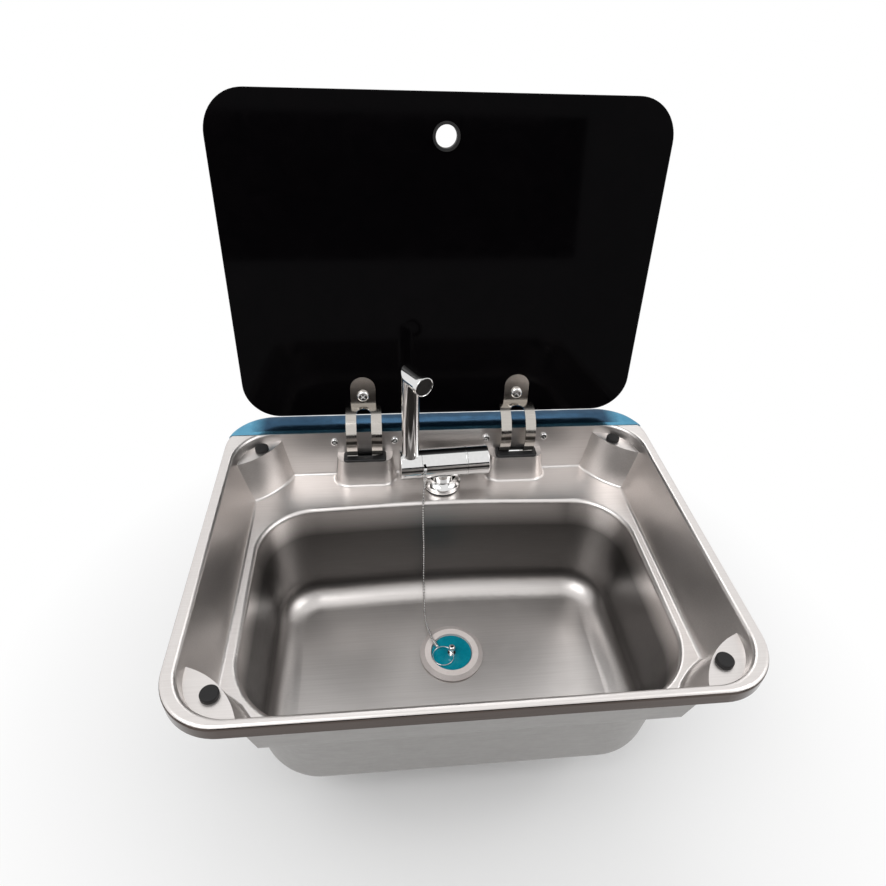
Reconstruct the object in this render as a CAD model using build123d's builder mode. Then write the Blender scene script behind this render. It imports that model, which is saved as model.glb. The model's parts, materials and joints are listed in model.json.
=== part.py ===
"""Caravan sink with an inset black glass lid, a fold-down tap and a bottom waste.

Millimetres. +Z is up, +Y is towards the hinges, and the origin is the centre of the worktop
cut-out, in the plane of the worktop that the rim's turned-down lip stands on. The lid is
open on its stop, the tap is up, and the plug is in the waste.
"""

import os
from math import atan2, cos, degrees, pi, radians, sin, sqrt, tan

from build123d import *

# Pressed sheet
sheet = 0.8
rim_length = 424.0
rim_width = 332.0
rim_corner = 44.0
rim_round = 3.0
lip_drop = 12.0
rim_side = 10.0
rim_front = 7.0
rim_rear = 25.5
opening_length = rim_length - 2 * rim_side
opening_front = rim_front - rim_width / 2
opening_rear = rim_width / 2 - rim_rear
opening_corner = 40.0
corner_tuck = 9.0
opening_round = 3.0
ledge_depth = 52.0
side_slope = 15.0
front_slope = 6.0
rear_slope = 6.0
ledge_round = 3.0
ledge_side = 25.5
ledge_front = 21.0
ledge_rear = 54.5
bowl_length = opening_length - 2 * ledge_side
bowl_front = opening_front + ledge_front
bowl_rear = opening_rear - ledge_rear
bowl_rear_bow = 8.0
bowl_rear_crown = 1500.0
bowl_rear_corner = 50.0
bowl_front_corner = 62.0
bowl_edge_round = 4.0
bowl_depth = 114.0
bowl_inset = 9.0
bowl_floor_round = 26.0
block_spare = 10.0

# Corner pads that carry the closed lid
pad_depth = 10.0
pad_inset = 17.6
pad_radius = 63.0
pad_flare = 10.0
pad_round = 3.0
front_pad_overhang = 14.6
rear_pad_overhang = 21.8
bumper_inset_x = 23.5
bumper_inset_front = 22.0
bumper_inset_rear = 15.3
bumper_diameter = 13.0
bumper_round = 1.2

# Hinges
hinge_spacing = 156.0
hinge_setback = 11.8
hinge_axis_y = opening_rear + hinge_setback
hinge_axis_depth = 7.9
neck_radius = 27.5
arm_sheet = 2.0
fork_width = 35.5
fork_slot = 14.5
tab_width = 25.0
tab_length = 32.6
tab_screw_reach = 12.6
arm_tail_angle = 247.0
arm_boss_radius = 5.5
arm_web_width = 5.0
pin_diameter = 5.0
pin_head_diameter = 8.0
pin_head = 1.5
running_clearance = 0.05
side_clearance = 0.3
hinge_box_depth = 26.0
hinge_box_top_half = 28.0
hinge_box_foot_half = 31.0
hinge_box_reach = 20.0
hinge_box_foot_reach = 26.5
hinge_box_front = opening_rear - hinge_box_reach
hinge_box_foot_front = opening_rear - hinge_box_foot_reach
hinge_box_corner = 11.0
hinge_box_foot_corner = 14.0
grommet_length = 43.0
grommet_width = 16.0
grommet_height = 2.5
grommet_wall = 1.2
grommet_gap = 1.0
neck_gap = 0.4
bracket_sheet = 2.0
bracket_screw_spacing = 61.0
bracket_screw_depth = 13.0
bracket_height = 18.0
bracket_screw_head = 7.5
bracket_screw_shank = 4.0

bracket_wing = 6.0
bracket_gap = 0.05
bracket_head_height = 2.4
bracket_head_round = 1.4
bracket_screw_length = 7.0
bracket_nut_across = 7.0
bracket_nut_height = 3.0
fork_shoulder = 5.0
fork_slot_angle = 112.0
arm_elbow = (12.0, 226.0)
arm_knee = (20.0, 240.0)
arm_foot_angle = 245.0
ear_root = (-12.0, -1.0)
pin_head_gap = 0.1
slot_corner = 4.0
arm_slot_corner = 0.8
grommet_tail = 1.8
grommet_round = 1.0

# Fits shared by the pieces
fit_gap = 0.2
hole_gap = 0.3

# Glass lid
lid_side_gap = 7.0
lid_depth_gap = 8.5
lid_length = opening_length - 2 * lid_side_gap
lid_width = opening_rear - opening_front - lid_depth_gap
lid_thickness = 5.0
lid_corner = 35.0
lid_edge_round = 0.8
lid_setback = 16.1
lid_drop = 2.0
lid_open_tilt = 6.56
gasket_thickness = 0.5
finger_hole_edge = 32.5
finger_hole_reach = lid_width - finger_hole_edge
finger_hole = 18.0
finger_ring = 23.0
finger_ring_height = 1.5
finger_ring_wall = 1.5
tab_screw_head = 11.5
tab_screw_shank = 5.0
cap_nut_diameter = 15.0
cap_nut_height = 3.0
cap_nut_round = 1.2
tab_screw_head_height = 3.5
tab_screw_round = 2.2
glass_screw_hole = 7.0
gasket_edge = 1.0

# Sealing strip and film
seal_width = 4.0
film_thickness = 0.2
seal_hinge_gap = 4.0

# Tap
tap_reach = 28.5
tap_y = opening_rear - tap_reach
tap_turn = 3.8
base_diameter = 38.0
base_height = 6.0
base_step = 2.5
base_groove = 0.7
base_edge_round = 0.8
base_cone_height = 5.5
base_cone_round = 9.0
base_top_diameter = 27.0
neck_diameter = 22.0
body_diameter = 30.0
body_depth = 22.0
body_half = 22.0
collar_length = 21.0
seam_ring_width = 1.5
seam_ring_stand = 0.4
collar_round = 0.6
handle_round = 1.2
handle_length = 22.0
spigot_length = 12.0
cartridge_seat = 24.0
cartridge_reach = 12.0
shank_seat = 7.0
spigot_diameter = 12.0
cartridge_diameter = 16.0
arm_diameter = 17.0
arm_offset = 33.0
arm_height = 103.0
arm_bore = 12.0
arm_seat = 5.0
arm_plug = 4.0
spout_reach = 17.0
spout_turn = 27.0
aerator_height = 5.0
aerator_wall = 1.2
aerator_diameter = 19.0
aerator_round = 0.8
aerator_tail = 4.0
aerator_recess = 1.2
aerator_screen_height = 3.0
shank_diameter = 20.0
shank_length = 34.0
shank_bore = 14.0
tap_nut_across = 30.0
tap_nut_height = 7.0
tap_washer_diameter = 36.0
tap_washer_height = 2.0
tap_seal_height = 1.5
tail_diameter = 6.0
tail_length = 40.0
tail_spacing = 7.0

# Waste, plug and chain
waste_x = 2.0
waste_back = 13.0
waste_y = (bowl_front + bowl_rear) / 2 + waste_back
waste_flange_diameter = 62.0
waste_flange_height = 3.0
flange_edge = 1.2
flange_bevel = 4.5
plug_seat = 20.6
seat_wall = 2.4
seat_drop = 4.6
strainer_drop = 14.0
strainer_height = 2.0
strainer_pitch = 11.0
strainer_holes = 6
strainer_slot = 6.0
strainer_slot_width = 4.0
strainer_hub_hole = 2.0
waste_barrel = 44.0
waste_bore = 37.0
waste_depth = 30.0
waste_wall = 2.5
waste_seal_height = 1.0
waste_nut_diameter = 60.0
waste_nut_height = 9.0
washer_height = 2.0
waste_nut_ribs = 8
waste_nut_rib = 6.0
cup_gap = 2.0
cup_floor = 30.0
cup_bevel = 3.0
plug_diameter = 39.6
plug_height = 7.0
plug_sink = 1.0
plug_foot = 15.0
plug_taper = 1.2
plug_crown = 0.8
plug_hollow = 0.8
knob_diameter = 6.5
knob_height = 5.6
knob_foot = 8.0
knob_foot_height = 0.8
knob_stem = 4.0
knob_seat = 5.0
knob_cap = 4.6
knob_round = 2.0
spigot_turn = 0.0
hose_spigot_diameter = 25.0
hose_spigot_bore = 20.0
hose_spigot_length = 30.0
spigot_shoulder = 2.0
spigot_shoulder_width = 1.0
chain_ball = 2.4
split_ring_diameter = 21.0
split_ring_wire = 1.0
ring_turn = 209.7
ring_hole = 1.8
coupling_diameter = 3.0
coupling_length = 10.0
coupling_turn = 116.7
coupling_rise = 1.0
coupling_round = 1.0
lug_place = 20.2
lug_height = 6.4
lug_reach = 17.7
lug_root = 8.0
lug_width = 5.0
lug_thickness = 2.5
lug_hole = 2.2
chain_gap = 0.35
bend_share = 0.45

# The chain's route, from the tap's lug over the bowl's rear edge to the coupling on the plug
chain_points = [
    (-20.4, 88.6, -24.0),
    (-21.6, 81.3, -42.5),
    (-21.2, 80.3, -64.0),
    (-20.4, 78.4, -88.0),
    (-20.0, 76.2, -113.0),
    (-20.1, 72.4, -135.8),
    (-20.3, 60.8, -150.5),
    (-20.8, 44.0, -152.1),
    (-21.3, 30.0, -152.2),
    (-20.4, 18.5, -148.8),
    (-19.4, 11.5, -146.6),
    (-17.6, 5.8, -146.6),
]

os.makedirs("parts", exist_ok=True)

# Levels and places that follow from the sizes above
rim_top = lip_drop
ledge_top = rim_top - ledge_depth
floor_top = ledge_top - bowl_depth
pad_top = rim_top - pad_depth
hinge_axis_z = rim_top - hinge_axis_depth
lid_underside = hinge_axis_z + lid_drop
bumper_top = lid_underside - side_clearance
hinge_box_top = rim_top - hinge_box_depth
hinge_places = {"left": -hinge_spacing / 2, "right": hinge_spacing / 2}
pad_centres = [
    (x_sign * (opening_length / 2 + pad_inset), y)
    for x_sign in (-1, 1)
    for y in (opening_front - front_pad_overhang, opening_rear + rear_pad_overhang)
]


def finish(builder, name):
    """Labels a finished piece and writes it."""
    builder.part.label = name
    export_step(builder.part, f"parts/{name}.step")

# Where each arm's neck passes the top of its hinge box
neck_drop = hinge_axis_z - hinge_box_top
neck_inner = sqrt((neck_radius - arm_sheet / 2) ** 2 - (neck_drop + grommet_tail) ** 2)
neck_outer = sqrt((neck_radius + arm_sheet / 2) ** 2 - (neck_drop - grommet_height) ** 2)
grommet_slot_y = hinge_axis_y - (neck_inner + neck_outer) / 2
arm_slot = (fork_width + 2 * neck_gap, neck_outer - neck_inner + 2 * neck_gap)
sheet_slot = (arm_slot[0] + 2 * grommet_wall, arm_slot[1] + 2 * grommet_wall)
grommet_y = opening_rear - rear_slope * hinge_box_depth / ledge_depth - grommet_width / 2 - grommet_gap
screw_places = [
    x + side * bracket_screw_spacing / 2 for x in hinge_places.values() for side in (-1, 1)
]

# The open lid stands on its own plane: X along the hinge, Y up the glass, Z out of its face
tilt = radians(lid_open_tilt)
lid_plane = Plane(
    origin=(
        0,
        hinge_axis_y + lid_setback * sin(tilt) + lid_drop * cos(tilt),
        hinge_axis_z + lid_setback * cos(tilt) - lid_drop * sin(tilt),
    ),
    x_dir=(1, 0, 0),
    z_dir=(0, -cos(tilt), sin(tilt)),
)


def wall_plane(x):
    """The rear wall's inner face at the bracket screws: Z points back, out of the sink."""
    lean = atan2(rear_slope, ledge_depth)
    y = opening_rear - rear_slope * bracket_screw_depth / ledge_depth
    return Plane(
        origin=(x, y, rim_top - bracket_screw_depth),
        x_dir=(-1, 0, 0),
        z_dir=(0, cos(lean), -sin(lean)),
    )


# ---------------------------------------------------------------- pressed sheet


def recess_outline(depth, grow):
    """The recess's outline at a depth below the rim, larger by grow all round."""
    share = depth / ledge_depth
    side = opening_length / 2 - side_slope * share + grow
    front = opening_front + front_slope * share - grow
    rear = opening_rear - rear_slope * share + grow
    with Locations((0, (front + rear) / 2)):
        RectangleRounded(2 * side, rear - front, opening_corner - corner_tuck * share + grow)


def bowl_outline(inset):
    """The bowl's outline, drawn in by inset, with its rear edge bowed to the back."""
    side = bowl_length / 2 - inset
    front = bowl_front + inset
    rear = bowl_rear - inset
    rear_end = rear - bowl_rear_bow
    corners = [(0, rear), (-side, rear_end), (-side, front), (side, front), (side, rear_end)]
    rear_round, front_round = bowl_rear_corner - inset, bowl_front_corner - inset
    rounds = [bowl_rear_crown, rear_round, front_round, front_round, rear_round]
    with BuildLine() as edge:
        FilletPolyline(*corners, radius=rounds, close=True)
    make_face(edge.edges())


def raised_forms(grow):
    """Corner pads and hinge boxes, which stand up inside the recess, smaller by grow."""
    floor = ledge_top - grow
    with BuildPart() as forms:
        for centre in pad_centres:
            with BuildSketch(Plane.XY.offset(pad_top - grow)):
                with Locations(centre):
                    Circle(pad_radius - grow)
            with BuildSketch(Plane.XY.offset(floor)):
                with Locations(centre):
                    Circle(pad_radius + pad_flare - grow)
            loft()
        for x in hinge_places.values():
            back = opening_rear + rim_round
            for level, half, front, corner in (
                (hinge_box_top - grow, hinge_box_top_half, hinge_box_front, hinge_box_corner),
                (floor, hinge_box_foot_half, hinge_box_foot_front, hinge_box_foot_corner),
            ):
                with BuildSketch(Plane.XY.offset(level)) as section:
                    with Locations((x, (front + grow + back) / 2)):
                        Rectangle(2 * (half - grow), back - front - grow)
                    fillet(section.vertices().group_by(Axis.Y)[0], corner - grow)
            loft()
    return forms.part


def pressed_space(grow):
    """The space above the sheet inside the rim, larger by grow all round."""
    floor = ledge_top - grow
    with BuildPart() as space:
        with BuildSketch(Plane.XY.offset(rim_top)):
            recess_outline(0, grow)
        with BuildSketch(Plane.XY.offset(floor)):
            recess_outline(ledge_depth + grow, grow)
        loft(ruled=True)
        add(raised_forms(grow), mode=Mode.SUBTRACT)
        ledge = space.faces().filter_by_position(Axis.Z, floor - 0.01, floor + 0.01)
        fillet(ledge.edges(), ledge_round + grow)
        with BuildSketch(Plane.XY.offset(floor)):
            bowl_outline(-grow)
        with BuildSketch(Plane.XY.offset(floor_top - grow)):
            bowl_outline(bowl_inset - grow)
        loft(ruled=True)
        fillet(space.faces().sort_by(Axis.Z)[0].edges(), bowl_floor_round + grow)
        ledge = space.faces().filter_by_position(Axis.Z, floor - 0.01, floor + 0.01)
        fillet(ledge.sort_by(SortBy.AREA)[-1].inner_wires().edges(), bowl_edge_round - grow)
    return space.part


def formed_block(grow):
    """A block whose top follows the sheet, smaller by grow than the sheet's outside."""
    with BuildPart() as block:
        with BuildSketch(Plane.XY.offset(rim_top - grow)):
            RectangleRounded(rim_length - 2 * grow, rim_width - 2 * grow, rim_corner - grow)
        extrude(amount=-(rim_top - floor_top) - block_spare)
        fillet(block.faces().sort_by(Axis.Z)[-1].edges(), rim_round - grow)
        add(pressed_space(grow), mode=Mode.SUBTRACT)
        inner = block.faces().sort_by(Axis.Z)[-1].inner_wires()
        fillet(inner.edges(), opening_round - grow)
    return block.part


def through_holes():
    """Everything that is punched through the sheet."""
    with BuildPart() as holes:
        with BuildSketch(Plane.XY.offset(ledge_top - rim_round)):
            with Locations((0, tap_y)):
                Circle(shank_diameter / 2 + hole_gap)
        extrude(amount=2 * rim_round)
        with BuildSketch(Plane.XY.offset(floor_top - rim_round)):
            with Locations((waste_x, waste_y)):
                Circle(waste_barrel / 2 + hole_gap)
        extrude(amount=2 * rim_round)
        for x in hinge_places.values():
            with BuildSketch(Plane.XY.offset(hinge_box_top - rim_round)):
                with Locations((x, grommet_slot_y)):
                    RectangleRounded(*sheet_slot, slot_corner)
            extrude(amount=2 * rim_round)
            for side in (-1, 1):
                with BuildSketch(wall_plane(x + side * bracket_screw_spacing / 2)):
                    Circle(bracket_screw_shank / 2 + hole_gap)
                extrude(amount=rim_round, both=True)
    return holes.part


with BuildPart() as sink_shell:
    add(formed_block(0))
    add(formed_block(sheet), mode=Mode.SUBTRACT)
    with BuildSketch():
        Rectangle(2 * rim_length, 2 * rim_width)
        with BuildSketch(mode=Mode.PRIVATE) as inside:
            recess_outline(lip_drop, 2 * sheet)
        add(inside.sketch, mode=Mode.SUBTRACT)
    extrude(amount=-2 * bowl_depth, mode=Mode.SUBTRACT)
    add(through_holes(), mode=Mode.SUBTRACT)
finish(sink_shell, "sink_shell")

with BuildPart() as rim_seal:
    outer = 2 * sheet
    inner = outer + 2 * seal_width
    with BuildSketch():
        RectangleRounded(rim_length - outer, rim_width - outer, rim_corner - outer / 2)
        RectangleRounded(
            rim_length - inner, rim_width - inner, rim_corner - inner / 2, mode=Mode.SUBTRACT
        )
        with Locations(*[(x, rim_width / 2) for x in hinge_places.values()]):
            Rectangle(fork_width + 2 * seal_hinge_gap, rim_width / 2, mode=Mode.SUBTRACT)
    extrude(amount=rim_top - rim_round)
finish(rim_seal, "rim_seal")

with BuildPart() as protective_film:
    with BuildSketch(Plane.XY.offset(rim_top)):
        RectangleRounded(
            rim_length - 2 * rim_round, rim_width - 2 * rim_round, rim_corner - rim_round
        )
        with Locations((0, opening_rear + opening_round - rim_width / 2)):
            Rectangle(2 * rim_length, rim_width, mode=Mode.SUBTRACT)
    extrude(amount=film_thickness)
finish(protective_film, "protective_film")

with BuildPart() as rubber_bumpers:
    for x_sign in (-1, 1):
        for y in (opening_front + bumper_inset_front, opening_rear - bumper_inset_rear):
            with BuildSketch(Plane.XY.offset(pad_top)):
                with Locations((x_sign * (opening_length / 2 - bumper_inset_x), y)):
                    Circle(bumper_diameter / 2)
            extrude(amount=bumper_top - pad_top)
    fillet(rubber_bumpers.faces().group_by(Axis.Z)[-1].edges(), bumper_round)
finish(rubber_bumpers, "rubber_bumpers")


# ---------------------------------------------------------------------- hinges


def link(start, end, width):
    """A round-ended bar in the current sketch between two points."""
    run = Vector(*end) - Vector(*start)
    middle = (Vector(*end) + Vector(*start)) / 2
    with Locations((middle.X, middle.Y)):
        SlotCenterToCenter(run.length, width, rotation=degrees(atan2(run.Y, run.X)))


def polar(radius, angle):
    """A point about the hinge axis, in the hinge's own plane."""
    return (radius * cos(radians(angle)), radius * sin(radians(angle)))


def hinge_plane(x):
    """The plane across the hinge axis at x: its own axes are +Y and +Z."""
    return Plane(origin=(x, hinge_axis_y, hinge_axis_z), x_dir=(0, 1, 0), z_dir=(1, 0, 0))


def lid_spots(reach):
    """Two places on the lid, one at each hinge, a distance up from its lower edge."""
    return [(x, reach) for x in hinge_places.values()]


def make_hinge(side, x):
    """Grommet, bracket, pin and arm of one hinge."""
    with BuildPart() as grommet:
        with BuildSketch(Plane.XY.offset(hinge_box_top)):
            with Locations((x, grommet_y)):
                RectangleRounded(grommet_length, grommet_width, slot_corner)
        extrude(amount=grommet_height)
        fillet(grommet.faces().sort_by(Axis.Z)[-1].edges(), grommet_round)
        with BuildSketch(Plane.XY.offset(hinge_box_top)):
            with Locations((x, grommet_slot_y)):
                RectangleRounded(
                    sheet_slot[0] - 2 * fit_gap, sheet_slot[1] - 2 * fit_gap, slot_corner - fit_gap
                )
        extrude(amount=-grommet_tail)
        with BuildSketch(Plane.XY.offset(hinge_box_top - grommet_tail)):
            with Locations((x, grommet_slot_y)):
                RectangleRounded(*arm_slot, arm_slot_corner)
        extrude(amount=grommet_tail + grommet_height, mode=Mode.SUBTRACT)
    finish(grommet, f"hinge_grommet_{side}")

    half = fork_width / 2
    with BuildPart() as arm:
        start = 90 - lid_open_tilt
        with BuildSketch(hinge_plane(x - half)):
            with BuildLine() as band:
                CenterArc((0, 0), neck_radius + arm_sheet / 2, start, arm_tail_angle - start)
                CenterArc((0, 0), neck_radius - arm_sheet / 2, start, arm_tail_angle - start)
                for angle in (start, arm_tail_angle):
                    Line(
                        polar(neck_radius - arm_sheet / 2, angle),
                        polar(neck_radius + arm_sheet / 2, angle),
                    )
            make_face(band.edges())
        extrude(amount=fork_width)
        shoulders = arm.edges().filter_by(GeomType.LINE).filter_by(
            lambda edge: edge.length < 1.5 * arm_sheet and edge.center().Z > hinge_axis_z
        )
        fillet(shoulders, fork_shoulder)
        slot_plane = Plane(
            origin=(x, hinge_axis_y, hinge_axis_z),
            x_dir=(1, 0, 0),
            z_dir=(0, cos(radians(fork_slot_angle)), sin(radians(fork_slot_angle))),
        )
        with BuildSketch(slot_plane):
            with Locations((0, -neck_radius)):
                Rectangle(fork_slot, 2 * neck_radius)
            Circle(fork_slot / 2)
        extrude(amount=2 * neck_radius, both=True, mode=Mode.SUBTRACT)
        for edge in (x - half, x + half - arm_sheet):
            with BuildSketch(hinge_plane(edge)):
                Circle(arm_boss_radius)
                link((0, 0), polar(*arm_elbow), arm_web_width)
                link(polar(*arm_elbow), polar(*arm_knee), arm_web_width)
                link(polar(*arm_knee), polar(neck_radius, arm_foot_angle), arm_web_width)
                Circle(pin_diameter / 2 + running_clearance, mode=Mode.SUBTRACT)
            extrude(amount=arm_sheet)
        with BuildSketch(lid_plane.offset(gasket_thickness)):
            low = neck_radius - arm_sheet / 2 - lid_setback
            with Locations((x, low + (tab_length - tab_width / 2) / 2)):
                Rectangle(tab_width, tab_length - tab_width / 2)
            with Locations((x, low + tab_length - tab_width / 2)):
                Circle(tab_width / 2)
            with Locations((x, low + tab_screw_reach)):
                Circle(tab_screw_shank / 2 + fit_gap, mode=Mode.SUBTRACT)
        extrude(amount=arm_sheet)
    finish(arm, f"hinge_arm_{side}")

    ear = half + side_clearance
    with BuildPart() as pin:
        with BuildSketch(hinge_plane(x - ear - bracket_sheet - pin_head)):
            Circle(pin_head_diameter / 2)
        extrude(amount=pin_head - pin_head_gap)
        with BuildSketch(hinge_plane(x + ear + bracket_sheet + pin_head_gap)):
            Circle(pin_head_diameter / 2)
        extrude(amount=pin_head - pin_head_gap)
        with BuildSketch(hinge_plane(x - ear - bracket_sheet - pin_head_gap)):
            Circle(pin_diameter / 2)
        extrude(amount=2 * (ear + bracket_sheet + pin_head_gap))
    finish(pin, f"hinge_pin_{side}")

    wing = bracket_screw_spacing / 2 + bracket_wing
    with BuildPart() as bracket:
        back = wall_plane(x).offset(sheet + bracket_gap)
        with BuildSketch(back):
            Rectangle(2 * wing, bracket_height)
            with Locations((0, -bracket_height / 2)):
                Rectangle(2 * ear, bracket_height, mode=Mode.SUBTRACT)
            with Locations((-bracket_screw_spacing / 2, 0), (bracket_screw_spacing / 2, 0)):
                Circle(bracket_screw_shank / 2 + hole_gap, mode=Mode.SUBTRACT)
        extrude(amount=bracket_sheet)
        for edge in (x - ear - bracket_sheet, x + ear):
            with BuildSketch(hinge_plane(edge)):
                link((0, 0), ear_root, 2 * arm_boss_radius)
                Circle(pin_diameter / 2 + running_clearance, mode=Mode.SUBTRACT)
            extrude(amount=bracket_sheet)
        split(bisect_by=back, keep=Keep.TOP)
    finish(bracket, f"hinge_bracket_{side}")


for side_name, place in hinge_places.items():
    make_hinge(side_name, place)

with BuildPart() as bracket_screws:
    for place in screw_places:
        with BuildSketch(wall_plane(place)):
            Circle(bracket_screw_head / 2)
        extrude(amount=-bracket_head_height)
        with BuildSketch(wall_plane(place)):
            Circle(bracket_screw_shank / 2)
        extrude(amount=bracket_screw_length)
    heads = bracket_screws.faces().group_by(Axis.Y)[0]
    fillet(heads.edges(), bracket_head_round)
finish(bracket_screws, "bracket_screws")

with BuildPart() as bracket_nuts:
    for place in screw_places:
        with BuildSketch(wall_plane(place).offset(sheet + 2 * bracket_gap + bracket_sheet)):
            RegularPolygon(bracket_nut_across / 2, 6, major_radius=False)
            Circle(bracket_screw_shank / 2 + running_clearance, mode=Mode.SUBTRACT)
        extrude(amount=bracket_nut_height)
finish(bracket_nuts, "bracket_nuts")

# ------------------------------------------------------------------- glass lid

tab_foot = neck_radius - arm_sheet / 2 - lid_setback
tab_screw_spots = lid_spots(tab_foot + tab_screw_reach)
lid_axis = Axis(lid_plane.origin, lid_plane.z_dir)

with BuildPart() as glass_lid:
    with BuildSketch(lid_plane):
        with Locations((0, lid_width / 2)):
            RectangleRounded(lid_length, lid_width, lid_corner)
        with Locations((0, finger_hole_reach)):
            Circle(finger_hole / 2 + finger_ring_wall, mode=Mode.SUBTRACT)
        with Locations(*tab_screw_spots):
            Circle(glass_screw_hole / 2, mode=Mode.SUBTRACT)
    extrude(amount=-lid_thickness)
    rims = glass_lid.faces().filter_by(lambda face: face.area > lid_length * lid_width / 2)
    chamfer([face.outer_wire().edges() for face in rims], lid_edge_round)
finish(glass_lid, "glass_lid")

with BuildPart() as finger_grommet:
    with BuildSketch(lid_plane.offset(-lid_thickness - finger_ring_height)):
        with Locations((0, finger_hole_reach)):
            Circle(finger_ring / 2)
    extrude(amount=finger_ring_height - fit_gap / 2)
    with BuildSketch(lid_plane.offset(fit_gap / 2)):
        with Locations((0, finger_hole_reach)):
            Circle(finger_ring / 2)
    extrude(amount=finger_ring_height - fit_gap / 2)
    with BuildSketch(lid_plane.offset(-lid_thickness - finger_ring_height)):
        with Locations((0, finger_hole_reach)):
            Circle(finger_hole / 2 + finger_ring_wall - fit_gap)
    extrude(amount=lid_thickness + 2 * finger_ring_height)
    with BuildSketch(lid_plane.offset(-lid_thickness - finger_ring_height)):
        with Locations((0, finger_hole_reach)):
            Circle(finger_hole / 2)
    extrude(amount=lid_thickness + 2 * finger_ring_height, mode=Mode.SUBTRACT)
finish(finger_grommet, "finger_grommet")

with BuildPart() as tab_gaskets:
    with BuildSketch(lid_plane):
        with Locations(*lid_spots(tab_foot + tab_screw_reach)):
            Circle(tab_width / 2 - gasket_edge)
            Circle(tab_screw_shank / 2 + fit_gap, mode=Mode.SUBTRACT)
    extrude(amount=gasket_thickness)
finish(tab_gaskets, "tab_gaskets")

with BuildPart() as tab_screws:
    for spot in tab_screw_spots:
        with BuildSketch(lid_plane.offset(gasket_thickness + arm_sheet)):
            with Locations(spot):
                Circle(tab_screw_head / 2)
        extrude(amount=tab_screw_head_height)
    fillet(tab_screws.faces().group_by(lid_axis)[-1].edges(), tab_screw_round)
    for spot in tab_screw_spots:
        with BuildSketch(lid_plane.offset(gasket_thickness + arm_sheet)):
            with Locations(spot):
                Circle(tab_screw_shank / 2)
        extrude(amount=-gasket_thickness - arm_sheet - lid_thickness - cap_nut_height / 2)
finish(tab_screws, "tab_screws")

with BuildPart() as cap_nuts:
    with BuildSketch(lid_plane.offset(-lid_thickness)):
        with Locations(*tab_screw_spots):
            Circle(cap_nut_diameter / 2)
    extrude(amount=-cap_nut_height)
    fillet(cap_nuts.faces().group_by(lid_axis)[0].edges(), cap_nut_round)
    with BuildSketch(lid_plane.offset(-lid_thickness)):
        with Locations(*tab_screw_spots):
            Circle(tab_screw_shank / 2 + running_clearance)
    extrude(amount=-cap_nut_height / 2 - running_clearance, mode=Mode.SUBTRACT)
finish(cap_nuts, "cap_nuts")

# ------------------------------------------------------------------------- tap

turn = radians(tap_turn)
body_z = rim_top - body_depth
body_plane = Plane(origin=(0, tap_y, body_z), x_dir=(0, 0, 1), z_dir=(cos(turn), sin(turn), 0))
base_z = ledge_top + tap_seal_height
neck_z = base_z + base_height + base_cone_height
arm_foot = (-arm_offset * cos(turn), tap_y - arm_offset * sin(turn))
body_radius = body_diameter / 2
tap_spot = Plane.XY.shift_origin((0, tap_y, 0))
body_axis = Axis(body_plane.origin, body_plane.z_dir)


def ring(plane, outer, inner, height):
    """A plain ring standing on a plane, in the current part."""
    with BuildSketch(plane) as section:
        Circle(outer / 2)
        Circle(inner / 2, mode=Mode.SUBTRACT)
    extrude(section.sketch, amount=height)


def bar(start, end, diameter, mode=Mode.ADD):
    """A round bar along the tap body, in the current part."""
    with BuildSketch(body_plane.offset(start)) as section:
        Circle(diameter / 2)
    extrude(section.sketch, amount=end - start, mode=mode)


with BuildPart() as tap_seal:
    ring(
        tap_spot.offset(ledge_top),
        base_diameter - 2 * base_edge_round,
        shank_diameter + 2 * hole_gap,
        tap_seal_height,
    )
finish(tap_seal, "tap_seal")

with BuildPart() as tap_base:
    low, high = base_diameter / 2, base_top_diameter / 2
    groove = low - base_groove
    with BuildSketch(Plane.XZ.offset(-tap_y)):
        with BuildLine():
            Polyline(
                (0, base_z),
                (low - base_edge_round, base_z),
                (low, base_z + base_edge_round),
                (low, base_z + base_step),
                (groove, base_z + base_step),
                (groove, base_z + base_step + base_groove),
                (low, base_z + base_step + base_groove),
                (low, base_z + base_height),
            )
            RadiusArc((low, base_z + base_height), (high, neck_z), base_cone_round)
            Polyline((high, neck_z), (0, neck_z), (0, base_z))
        make_face()
    revolve(axis=Axis((0, tap_y, 0), (0, 0, 1)))
    with BuildSketch(Plane.XY.offset(base_z)):
        with Locations((0, tap_y)):
            Circle(shank_diameter / 2 + fit_gap)
    extrude(amount=shank_seat, mode=Mode.SUBTRACT)
finish(tap_base, "tap_base")

with BuildPart() as tap_body:
    with BuildSketch(Plane.XY.offset(neck_z)):
        with Locations((0, tap_y)):
            Circle(neck_diameter / 2)
    extrude(amount=body_z - neck_z)
    bar(-body_half, body_half, body_diameter)
    with BuildSketch(body_plane.offset(-lug_place - lug_thickness / 2)):
        link((lug_height, lug_root), (lug_height, lug_reach), lug_width)
        with Locations((lug_height, lug_reach)):
            Circle(lug_hole / 2, mode=Mode.SUBTRACT)
    extrude(amount=lug_thickness)
    bar(
        -body_half,
        -body_half + spigot_length + fit_gap,
        spigot_diameter + 2 * running_clearance,
        Mode.SUBTRACT,
    )
    bar(body_half - cartridge_seat, body_half, cartridge_diameter + 2 * fit_gap, Mode.SUBTRACT)
finish(tap_body, "tap_body")

with BuildPart() as seam_ring:
    with BuildSketch(body_plane.offset(body_half)):
        Circle(body_radius + seam_ring_stand)
        Circle(cartridge_diameter / 2 + fit_gap, mode=Mode.SUBTRACT)
    extrude(amount=seam_ring_width)
finish(seam_ring, "seam_ring")

handle_start = body_half + seam_ring_width + side_clearance
with BuildPart() as tap_cartridge:
    bar(body_half - cartridge_seat + fit_gap, handle_start + cartridge_reach, cartridge_diameter)
finish(tap_cartridge, "tap_cartridge")

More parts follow.
